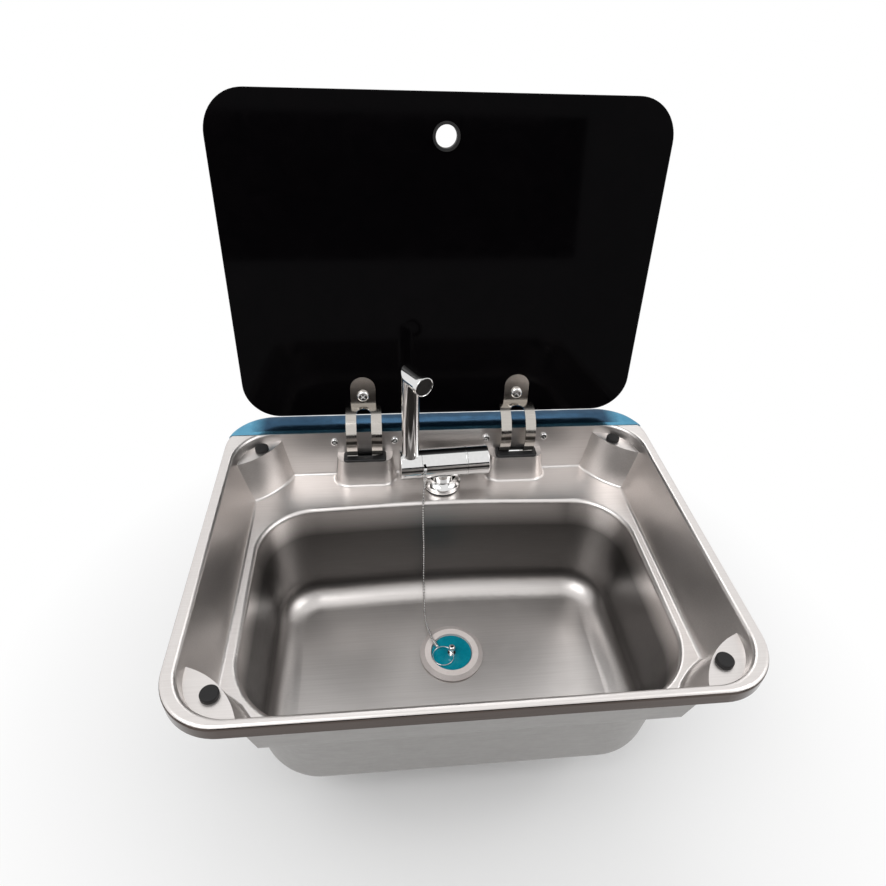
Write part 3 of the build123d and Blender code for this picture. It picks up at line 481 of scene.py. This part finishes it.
def plasticFinish(name, look):
    # moulded plastic or rubber, with a fine tooth and a slight clouding
    material, tree, output = newMaterial(name)
    shader = tree.nodes.new("ShaderNodeBsdfPrincipled")
    tooth = placeGroup(tree, toothGroup, {"Fineness": look["tooth"]})
    smudge = placeGroup(tree, marksGroup, {"Size": plasticMarks})
    connect(tree, toneBetween(tree, smudge, look["dark"], look["light"]), shader.inputs["Base Color"])
    connect(tree, levelBetween(tree, smudge, *look["rough"]), shader.inputs["Roughness"])
    connect(tree, bumpFrom(tree, tooth, *look["relief"]), shader.inputs["Normal"])
    shader.inputs["Specular IOR Level"].default_value = look["shine"]
    connect(tree, shader.outputs[0], output.inputs["Surface"])
    return material


blackGlass = {
    "dark": (0.0011, 0.0010, 0.0013),
    "light": (0.0022, 0.0018, 0.0022),
    "rough": (0.03, 0.08),
    "shine": 0.03,
    "marks": 9.0,
}


def glassFinish():
    material, tree, output = newMaterial("blackGlass")
    shader = tree.nodes.new("ShaderNodeBsdfPrincipled")
    smudge = placeGroup(tree, marksGroup, {"Size": blackGlass["marks"]})
    tone = toneBetween(tree, smudge, blackGlass["dark"], blackGlass["light"])
    connect(tree, tone, shader.inputs["Base Color"])
    connect(tree, levelBetween(tree, smudge, *blackGlass["rough"]), shader.inputs["Roughness"])
    shader.inputs["Specular IOR Level"].default_value = blackGlass["shine"]
    connect(tree, shader.outputs[0], output.inputs["Surface"])
    return material


blueFilm = {
    "tight": ((0.010, 0.040, 0.085), (0.022, 0.075, 0.140)),  # film blue darkened by a painted reflection of the black lid, where it lies close on the steel
    "loose": ((0.06, 0.25, 0.40), (0.13, 0.38, 0.55)),  # film blue lightened by a painted reflection of bright surroundings, on the overhanging strip and the two ends
    "strip": (0.1408, 0.1424),  # Y between which the overhang passes into the close part
    "ends": (0.176, 0.192),  # and how far out to each side the ends begin
    "rough": (0.10, 0.22),
    "metal": 0.90,  # most of what it shows is the steel under it
    "marks": 26.0,
    "crease": (260.0, 30.0),
    "relief": (0.0002, 0.30),
}


def filmFinish():
    material, tree, output = newMaterial("blueFilm")
    shader = tree.nodes.new("ShaderNodeBsdfPrincipled")
    smudge = placeGroup(tree, marksGroup, {"Size": blueFilm["marks"]})
    across, along = blueFilm["crease"]
    crease = placeGroup(tree, grainGroup, {"Across": across, "Along": along})
    coordinates = tree.nodes.new("ShaderNodeTexCoord")
    apart = tree.nodes.new("ShaderNodeSeparateXYZ")
    connect(tree, coordinates.outputs["Object"], apart.inputs[0])
    strip = levelBetween(tree, apart.outputs["Y"], 1.0, 0.0, *blueFilm["strip"])
    aside = mathNode(tree, "ABSOLUTE", apart.outputs["X"])
    ends = levelBetween(tree, aside, 0.0, 1.0, *blueFilm["ends"])
    mix = tree.nodes.new("ShaderNodeMix")
    mix.data_type = "RGBA"
    connect(tree, toneBetween(tree, smudge, *blueFilm["tight"]), mix.inputs["A"])
    connect(tree, toneBetween(tree, smudge, *blueFilm["loose"]), mix.inputs["B"])
    # the strip and the ends get the bright painted reflection, the rest the dark one
    connect(tree, mathNode(tree, "MAXIMUM", strip, ends), mix.inputs["Factor"])
    connect(tree, mix.outputs["Result"], shader.inputs["Base Color"])
    connect(tree, levelBetween(tree, smudge, *blueFilm["rough"]), shader.inputs["Roughness"])
    connect(tree, bumpFrom(tree, crease, *blueFilm["relief"]), shader.inputs["Normal"])
    shader.inputs["Metallic"].default_value = blueFilm["metal"]
    connect(tree, shader.outputs[0], output.inputs["Surface"])
    return material


finishes = {name: metalFinish(name, look) for name, look in metals.items()}
finishes.update({name: plasticFinish(name, look) for name, look in plastics.items()})
finishes["blackGlass"] = glassFinish()
finishes["blueFilm"] = filmFinish()

finishOfSlot = {
    "stainless": "satinSteel",
    "black_glass": "blackGlass",
    "rubber": "mattRubber",
    "black_plastic": "mouldedBlack",
    "film": "blueFilm",
    "chrome": "chromePlate",
    "zinc_steel": "brightZinc",
    "steel_screen": "wovenSteel",
    "brass": "turnedBrass",
    "copper": "drawnCopper",
    "cream_plastic": "warmWhite",
    "teal_plastic": "glossyTeal",
}

finishOfNode = {
    "hinge_arm_left": "polishedArm",
    "hinge_arm_right": "polishedArm",
    "bracket_screws": "chromePlate",
}


def finishFor(nodeName):
    return finishes[finishOfNode.get(nodeName, finishOfSlot[slotOf[nodeName]])]


for nodeName, node in nodes.items():
    node.data.materials.clear()
    node.data.materials.append(finishFor(nodeName))
print("finishes on", len(nodes), "frame pieces")

sheetFaces = {
    "corner": (0.168, 0.122),  # centre of the rim's rounded corners
    "cornerRadius": 0.044,
    "lipBand": 0.0042,
    "lipLean": 0.62,  # the lip's painted reflection starts where the rounding has turned down this far
    "high": 0.30,  # what faces away from a point this high over the middle is the underside
    "lipFinish": 1,
    "undersideFinish": 2,
}


def paintShell():
    # the lip gets a dark painted reflection, and the underside of the pressed sheet a darker, rougher
    # steel tone
    shell = nodes["sink_shell"]
    shell.data.materials.append(finishes["mirrorLip"])
    shell.data.materials.append(finishes["coatedUnderside"])
    cornerX, cornerY = sheetFaces["corner"]
    for face in shell.data.polygons:
        middle = face.center
        past = Vector((max(abs(middle.x) - cornerX, 0), max(abs(middle.y) - cornerY, 0)))
        outward = face.normal.dot(middle - Vector((0, 0, sheetFaces["high"]))) > 0
        atEdge = past.length > sheetFaces["cornerRadius"] - sheetFaces["lipBand"]
        # these faces take the lip's painted reflection
        if atEdge and face.normal.z < sheetFaces["lipLean"]:
            face.material_index = sheetFaces["lipFinish"]
        elif outward:
            face.material_index = sheetFaces["undersideFinish"]


paintShell()

flangeFaces = {
    "centre": (0.002, -0.013),
    "edge": 0.0266,  # faces further out than this have the edge's finish
    "edgeFinish": 1,
}


def paintFlange():
    # the flange's thin outer edge lets some light through, so it reads darker than the ring
    flange = nodes["waste_flange"]
    flange.data.materials.append(finishes["milkyEdge"])
    for face in flange.data.polygons:
        if (face.center.xy - Vector(flangeFaces["centre"])).length > flangeFaces["edge"]:
            face.material_index = flangeFaces["edgeFinish"]


paintFlange()


def activate(piece):
    deselectAll()
    piece.select_set(True)
    bpy.context.view_layer.objects.active = piece


def standsFor(piece, nodeName, finish=None):
    piece.data.materials.clear()
    piece.data.materials.append(finish or finishFor(nodeName))
    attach(piece, bodyOf[nodeName])
    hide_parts(nodeName)


def joinPieces(pieces):
    activate(pieces[0])
    for piece in pieces[1:]:
        piece.select_set(True)
    bpy.ops.object.join()
    return pieces[0]


# points nearer than this, and faces that lean less than these degrees, become one
merging = {"distance": 0.000005, "flat": 0.5}
smoothAngle = 32  # degrees up to which an edge is shaded smooth


def mergedCopy(nodeName, name):
    # the frame's piece as one clean mesh, with its flat faces whole again
    source = nodes[nodeName]
    piece = bpy.data.objects.new(name, source.data.copy())
    bpy.context.scene.collection.objects.link(piece)
    activate(piece)
    bpy.ops.mesh.customdata_custom_splitnormals_clear()
    bpy.ops.object.mode_set(mode="EDIT")
    bpy.ops.mesh.select_all(action="SELECT")
    bpy.ops.mesh.remove_doubles(threshold=merging["distance"])
    bpy.ops.mesh.dissolve_limited(angle_limit=radians(merging["flat"]))
    bpy.ops.object.mode_set(mode="OBJECT")
    return piece


def chooseEdges(piece, wanted):
    # leaves the piece in edit mode with only the wanted edges selected
    activate(piece)
    bpy.context.tool_settings.mesh_select_mode = (False, True, False)
    bpy.ops.object.mode_set(mode="EDIT")
    bpy.ops.mesh.select_all(action="DESELECT")
    bpy.ops.object.mode_set(mode="OBJECT")
    for edge in piece.data.edges:
        a, b = (piece.data.vertices[index].co for index in edge.vertices)
        edge.select = wanted(a, b)
    bpy.ops.object.mode_set(mode="EDIT")


def chooseFaces(piece, wanted):
    # the same with faces
    activate(piece)
    bpy.context.tool_settings.mesh_select_mode = (False, False, True)
    bpy.ops.object.mode_set(mode="EDIT")
    bpy.ops.mesh.select_all(action="DESELECT")
    bpy.ops.object.mode_set(mode="OBJECT")
    for face in piece.data.polygons:
        face.select = wanted(face)
    bpy.ops.object.mode_set(mode="EDIT")


def applyAll(piece):
    activate(piece)
    for modifier in list(piece.modifiers):
        bpy.ops.object.modifier_apply(modifier=modifier.name)


softening = {"segments": 2, "sharper": 40}  # edges sharper than these degrees are rounded

# width of the small radius that each piece's edges have
softEdges = {
    "tap_body": 0.0006,
    "seam_ring": 0.0002,
    "hinge_arm_left": 0.0003,
    "hinge_arm_right": 0.0003,
    "hinge_bracket_left": 0.0003,
    "hinge_bracket_right": 0.0003,
    "hinge_grommet_left": 0.0004,
    "hinge_grommet_right": 0.0004,
    "finger_grommet": 0.0004,
    "tab_gaskets": 0.0003,
    "bracket_nuts": 0.0003,
    "tap_nut": 0.0005,
    "waste_nut": 0.0006,
}


def softenEdges(nodeName, width):
    words = nodeName.split("_")
    piece = mergedCopy(nodeName, words[0] + "".join(word.title() for word in words[1:]))
    bevel = piece.modifiers.new("edgeRadius", "BEVEL")
    bevel.width = width
    bevel.segments = softening["segments"]
    bevel.limit_method = "ANGLE"
    bevel.angle_limit = radians(softening["sharper"])
    applyAll(piece)
    bpy.ops.object.shade_smooth_by_angle(angle=radians(smoothAngle))
    even = piece.modifiers.new("evenShading", "WEIGHTED_NORMAL")
    even.keep_sharp = True
    applyAll(piece)
    standsFor(piece, nodeName)


for nodeName, width in softEdges.items():
    softenEdges(nodeName, width)
print("edges softened on", len(softEdges), "pieces")

# lean is how many degrees a head faces up, and slot the width and length of its cross's two bars
screws = {
    "bracket_screws": {
        "name": "bracketScrews", "places": (-0.1085, -0.0475, 0.0475, 0.1085), "lean": 6.6,
        "slot": (0.00075, 0.0040), "depth": 0.0011,
    },
    "tab_screws": {
        "name": "tabScrews", "places": (-0.078, 0.078), "lean": 6.56,
        "slot": (0.0011, 0.0062), "depth": 0.0017,
    },
}
headReach = 0.0075  # how far from its axis a screw's points lie at most
crownBand = 0.00005  # points this near the outermost one belong to the flat of the head


def headCrown(piece, x, way):
    # the middle of the outermost flat of the head that stands at x
    near = [vertex.co for vertex in piece.data.vertices if abs(vertex.co.x - x) < headReach]
    top = max(point.dot(way) for point in near)
    crown = [point for point in near if point.dot(way) > top - crownBand]
    return sum(crown, Vector()) / len(crown)


def crossRecess(nodeName, screw):
    piece = mergedCopy(nodeName, screw["name"])
    lean = radians(screw["lean"])
    way = Vector((0, -cos(lean), sin(lean)))
    thin, long = screw["slot"]
    crowns = [headCrown(piece, x, way) for x in screw["places"]]
    for turn in (pi / 4, -pi / 4):
        cutters = []
        for crown in crowns:
            bpy.ops.mesh.primitive_cube_add(size=1)
            cutter = bpy.context.object
            cutter.matrix_world = (
                Matrix.Translation(crown)
                @ way.to_track_quat("Z", "Y").to_matrix().to_4x4()
                @ Matrix.Rotation(turn, 4, "Z")
                @ Matrix.Diagonal((thin, long, 2 * screw["depth"], 1))
            )
            cutters.append(cutter)
        allCutters = joinPieces(cutters)
        cut = piece.modifiers.new("recess", "BOOLEAN")
        cut.object = allCutters
        cut.solver = "EXACT"
        applyAll(piece)
        bpy.data.objects.remove(allCutters)
    activate(piece)
    bpy.ops.object.shade_smooth_by_angle(angle=radians(smoothAngle))
    standsFor(piece, nodeName)


for nodeName, screw in screws.items():
    crossRecess(nodeName, screw)
print("cross recesses cut")

splitRing = {
    "centre": (-0.00669, -0.01796, -0.14900),
    "outer": 0.0210,
    "wire": 0.00048,
    "wireSides": 10,
    "rise": 0.00050,  # for each turn
    "turns": 2,
    "start": 200.0,  # degrees
    "steps": 64,
    "smooth": 50,
}


def makeSplitRing():
    # one wire wound twice round, its ends lying on the coil
    middle = Vector(splitRing["centre"])
    reach = (splitRing["outer"] - splitRing["wire"]) / 2
    bpy.ops.mesh.primitive_circle_add(
        vertices=splitRing["wireSides"],
        radius=splitRing["wire"] / 2,
        location=(reach, 0, 0),
        rotation=(pi / 2, 0, 0),
    )
    piece = bpy.context.object
    piece.name = "splitRing"
    bpy.ops.object.transform_apply(location=True, rotation=True, scale=False)
    winding = piece.modifiers.new("winding", "SCREW")
    winding.axis = "Z"
    winding.angle = 2 * pi
    winding.screw_offset = splitRing["rise"]
    winding.iterations = splitRing["turns"]
    winding.steps = splitRing["steps"]
    winding.render_steps = splitRing["steps"]
    applyAll(piece)
    bpy.ops.object.mode_set(mode="EDIT")
    bpy.ops.mesh.select_all(action="SELECT")
    bpy.ops.mesh.fill_holes(sides=0)
    bpy.ops.mesh.select_all(action="SELECT")
    bpy.ops.mesh.normals_make_consistent(inside=False)
    bpy.ops.object.mode_set(mode="OBJECT")
    piece.rotation_euler = (0, 0, radians(splitRing["start"]))
    piece.location = middle - Vector((0, 0, splitRing["rise"] * splitRing["turns"] / 2))
    bpy.ops.object.transform_apply(location=True, rotation=True, scale=False)
    bpy.ops.object.shade_smooth_by_angle(angle=radians(splitRing["smooth"]))
    standsFor(piece, "split_ring", finishes["chromePlate"])
    print("split ring wound")


makeSplitRing()

aerator = {
    "end": (-0.02422, 0.09520, 0.09300),  # where the arm's spout ends
    "heading": 30.8,  # degrees that it turns from -Y towards +X
    "outer": 0.0095,
    "height": 0.0050,
    "round": 0.0007,
    "halfRound": 0.3,  # how far in the middle of the rounding lies, as a share of it
    "breakEdge": 0.4,  # the open face's own edge, as a share of the rounding
    "face": 0.0085,  # radius of the open face
    "step": 0.0009,  # how deep the screen sits
    "bore": 0.0049,
    "tail": 0.0038,
    "neck": 0.0058,  # outer radius of the tail, which is inside the spout
    "sides": 64,
    "wire": 0.00016,
    "wireSides": 6,
    "mesh": 0.00085,  # from one wire to the next
    "backingSides": 48,
}


def aeratorTurn():
    heading = radians(aerator["heading"])
    way = Vector((sin(heading), -cos(heading), 0))
    return Matrix.Translation(aerator["end"]) @ way.to_track_quat("Z", "X").to_matrix().to_4x4()


def turnedRing(name, profile, sides):
    # a ring whose wall follows (radius, height) pairs, drawn from one circle and closed on itself
    radius, height = profile[0]
    bpy.ops.mesh.primitive_circle_add(vertices=sides, radius=radius, location=(0, 0, height))
    piece = bpy.context.object
    piece.name = name
    bpy.ops.object.transform_apply(location=True, rotation=False, scale=False)
    bpy.ops.object.mode_set(mode="EDIT")
    for nextRadius, nextHeight in profile[1:] + profile[:1]:
        bpy.ops.mesh.extrude_edges_move(TRANSFORM_OT_translate={"value": (0, 0, nextHeight - height)})
        ratio = nextRadius / radius
        bpy.ops.transform.resize(value=(ratio, ratio, 1), center_override=(0, 0, nextHeight))
        radius, height = nextRadius, nextHeight
    bpy.ops.mesh.select_all(action="SELECT")
    bpy.ops.mesh.remove_doubles(threshold=merging["distance"])
    bpy.ops.mesh.normals_make_consistent(inside=False)
    bpy.ops.object.mode_set(mode="OBJECT")
    return piece


def settle(piece, turn):
    activate(piece)
    piece.matrix_world = turn @ piece.matrix_world
    bpy.ops.object.transform_apply(location=True, rotation=True, scale=True)


def makeAeratorRing():
    edge = aerator["outer"]
    high = aerator["height"]
    soft = aerator["round"]
    middle = soft * aerator["halfRound"]
    inner = soft * aerator["breakEdge"]
    profile = [
        (edge, 0),
        (edge, high - soft),
        (edge - middle, high - middle),
        (edge - soft, high),
        (aerator["face"] + inner, high),
        (aerator["face"], high - inner),
        (aerator["face"], high - aerator["step"]),
        (aerator["bore"], high - aerator["step"]),
        (aerator["bore"], -aerator["tail"]),
        (aerator["neck"], -aerator["tail"]),
        (aerator["neck"], 0),
    ]
    ring = turnedRing("aeratorRing", profile, aerator["sides"])
    settle(ring, aeratorTurn())
    bpy.ops.object.shade_smooth_by_angle(angle=radians(smoothAngle))
    standsFor(ring, "aerator_ring")
    print("aerator ring turned")


def makeAeratorScreen():
    # two layers of wires cross each other over a thin disc that closes the gaps
    base = aerator["height"] - aerator["step"] + aerator["wire"]
    reach = aerator["face"] - aerator["wire"]
    count = int(reach / aerator["mesh"])
    wires = []
    for layer in range(2):
        across = Matrix.Rotation(layer * pi / 2, 4, "Z")
        lift = base + layer * aerator["wire"]
        for index in range(-count, count + 1):
            aside = index * aerator["mesh"]
            half = (reach**2 - aside**2) ** 0.5
            bpy.ops.mesh.primitive_cylinder_add(
                vertices=aerator["wireSides"],
                radius=aerator["wire"],
                depth=2 * half,
                rotation=(pi / 2, 0, 0),
            )
            wire = bpy.context.object
            wire.matrix_world = across @ Matrix.Translation((aside, 0, lift)) @ wire.matrix_world
            wires.append(wire)
    screen = joinPieces(wires)
    screen.name = "aeratorScreen"
    bpy.ops.object.transform_apply(location=True, rotation=True, scale=True)
    bpy.ops.mesh.primitive_cylinder_add(
        vertices=aerator["backingSides"],
        radius=reach,
        depth=aerator["wire"],
        location=(0, 0, base - aerator["wire"]),
    )
    backing = bpy.context.object
    bpy.ops.object.transform_apply(location=True, rotation=False, scale=False)
    joinPieces([screen, backing])
    settle(screen, aeratorTurn())
    standsFor(screen, "aerator_screen")
    print("aerator screen woven")


makeAeratorRing()
makeAeratorScreen()

film = {
    "frontEdge": 0.1364,  # the straight cut, which overhangs the opening
    "rimHalf": (0.2120, 0.1685),  # it stands out a little past the rim at the back
    "corner": 0.044,
    "cornerSegments": 20,
    "top": 0.0120,
    "stand": 0.00022,  # how far it lies off the steel
    "edgeRound": 0.0031,
    "edgeSegments": 4,
    "wrap": 0.0042,  # how far it comes down the lip
    "underside": -0.9,  # faces that look down more than this are cut away
    "columnWidth": 0.004,
    "rows": (0.1405, 0.146, 0.152, 0.158),  # Y of the cuts that let it ripple
    "ripple": 0.00045,
    "rippleSize": 0.016,
    "rippleMiddle": 0.35,
    "thickness": 0.0001,
    "smooth": 60,
}


def makeFilm():
    # the film is cut from a skin that follows the rim's top and its rounded edge
    halfX, halfY = film["rimHalf"]
    grown = film["stand"]
    high = film["top"] + grown
    low = film["top"] - film["wrap"]
    bpy.ops.mesh.primitive_cube_add(size=1, location=(0, 0, (high + low) / 2))
    skin = bpy.context.object
    skin.name = "protectiveFilm"
    skin.scale = (2 * (halfX + grown), 2 * (halfY + grown), high - low)
    bpy.ops.object.transform_apply(location=True, rotation=False, scale=True)
    chooseEdges(skin, lambda a, b: abs(a.z - b.z) > (high - low) / 2)
    bpy.ops.mesh.bevel(offset=film["corner"] + grown, segments=film["cornerSegments"], affect="EDGES")
    chooseEdges(skin, lambda a, b: min(a.z, b.z) > (high + low) / 2)
    bpy.ops.mesh.bevel(offset=film["edgeRound"], segments=film["edgeSegments"], affect="EDGES")
    bpy.ops.mesh.select_all(action="SELECT")
    bpy.ops.mesh.bisect(
        plane_co=(0, film["frontEdge"], 0), plane_no=(0, 1, 0), use_fill=False, clear_inner=True
    )
    chooseFaces(skin, lambda face: face.normal.z < film["underside"])
    bpy.ops.mesh.delete(type="FACE")
    columns = int(2 * halfX / film["columnWidth"])
    for index in range(1, columns):
        bpy.ops.mesh.select_all(action="SELECT")
        bpy.ops.mesh.bisect(plane_co=(-halfX + index * film["columnWidth"], 0, 0), plane_no=(1, 0, 0))
    for y in film["rows"]:
        bpy.ops.mesh.select_all(action="SELECT")
        bpy.ops.mesh.bisect(plane_co=(0, y, 0), plane_no=(0, 1, 0))
    bpy.ops.object.mode_set(mode="OBJECT")
    ripple = bpy.data.textures.new("filmRipple", "CLOUDS")
    ripple.noise_scale = film["rippleSize"]
    wave = skin.modifiers.new("ripple", "DISPLACE")
    wave.texture = ripple
    wave.texture_coords = "LOCAL"
    wave.strength = film["ripple"]
    wave.mid_level = film["rippleMiddle"]
    wall = skin.modifiers.new("thickness", "SOLIDIFY")
    wall.thickness = film["thickness"]
    wall.offset = 1.0
    applyAll(skin)
    bpy.ops.object.shade_smooth_by_angle(angle=radians(film["smooth"]))
    standsFor(skin, "protective_film")
    print("film laid on the rear rim")


makeFilm()

chain = {
    "ball": 0.0024,
    "ballSegments": 12,
    "ballRings": 8,
    "pitch": 0.0031,
    "link": 0.0008,
    "linkSides": 8,
    "linkSmooth": 40,
    "curveOrder": 3,
    "curveSteps": 24,
    # from the tap's lug over the bowl's rear edge to the coupling on the plug
    "points": [
        (-0.01898, 0.09300, -0.00645),
        (-0.0204, 0.0886, -0.0240),
        (-0.0216, 0.0813, -0.0425),
        (-0.0212, 0.0803, -0.0640),
        (-0.0204, 0.0784, -0.0880),
        (-0.0200, 0.0762, -0.1130),
        (-0.0201, 0.0724, -0.1358),
        (-0.0203, 0.0608, -0.1505),
        (-0.0208, 0.0440, -0.1521),
        (-0.0213, 0.0300, -0.1522),
        (-0.0204, 0.0185, -0.1488),
        (-0.0194, 0.0115, -0.1466),
        (-0.0176, 0.0058, -0.1466),
        (-0.01619, 0.00094, -0.14800),
    ],
}


def smoothRoute(name, points):
    curve = bpy.data.curves.new(name, "CURVE")
    curve.dimensions = "3D"
    curve.resolution_u = chain["curveSteps"]
    spline = curve.splines.new("NURBS")
    spline.points.add(len(points) - 1)
    for target, point in zip(spline.points, points):
        target.co = (*point, 1)
    spline.order_u = chain["curveOrder"]
    spline.use_endpoint_u = True
    holder = bpy.data.objects.new(name, curve)
    bpy.context.scene.collection.objects.link(holder)
    bpy.context.view_layer.update()
    line = bpy.data.meshes.new_from_object(holder)
    route = [vertex.co.copy() for vertex in line.vertices]
    bpy.data.meshes.remove(line)
    bpy.data.objects.remove(holder)
    return route


def alongRoute(route, spacing):
    # evenly set places along the route, about spacing apart, with the direction at each
    total = sum((b - a).length for a, b in zip(route, route[1:]))
    count = int(total / spacing)
    step = total / count
    places = []
    walked = 0.0
    wanted = step / 2
    for a, b in zip(route, route[1:]):
        run = (b - a).length
        while wanted <= walked + run and len(places) < count:
            places.append((a.lerp(b, (wanted - walked) / run), (b - a).normalized()))
            wanted += step
        walked += run
    return places, total


def copyAt(model, place):
    twin = model.copy()
    twin.data = model.data.copy()
    bpy.context.scene.collection.objects.link(twin)
    twin.matrix_world = place
    return twin


def makeChain():
    route = smoothRoute("chainRoute", chain["points"])
    places, total = alongRoute(route, chain["pitch"])
    bpy.ops.mesh.primitive_uv_sphere_add(
        segments=chain["ballSegments"], ring_count=chain["ballRings"], radius=chain["ball"] / 2
    )
    ball = bpy.context.object
    bpy.ops.object.shade_smooth()
    bpy.ops.mesh.primitive_cylinder_add(vertices=chain["linkSides"], radius=chain["link"] / 2, depth=1)
    link = bpy.context.object
    bpy.ops.object.shade_smooth_by_angle(angle=radians(chain["linkSmooth"]))
    pieces = []
    for place, way in places:
        turn = way.to_track_quat("Z", "Y").to_matrix().to_4x4()
        pieces.append(copyAt(ball, Matrix.Translation(place) @ turn))
    spots = [place for place, way in places]
    for a, b in zip(spots, spots[1:]):
        turn = (b - a).to_track_quat("Z", "Y").to_matrix().to_4x4()
        stretch = Matrix.Diagonal((1, 1, (b - a).length, 1))
        pieces.append(copyAt(link, Matrix.Translation((a + b) / 2) @ turn @ stretch))
    bpy.data.objects.remove(ball)
    bpy.data.objects.remove(link)
    whole = joinPieces(pieces)
    bpy.ops.object.transform_apply(location=True, rotation=True, scale=True)
    whole.name = "ballChain"
    standsFor(whole, "ball_chain", finishes["beadMetal"])
    print("chain length", round(total, 4), "balls", len(places))


makeChain()
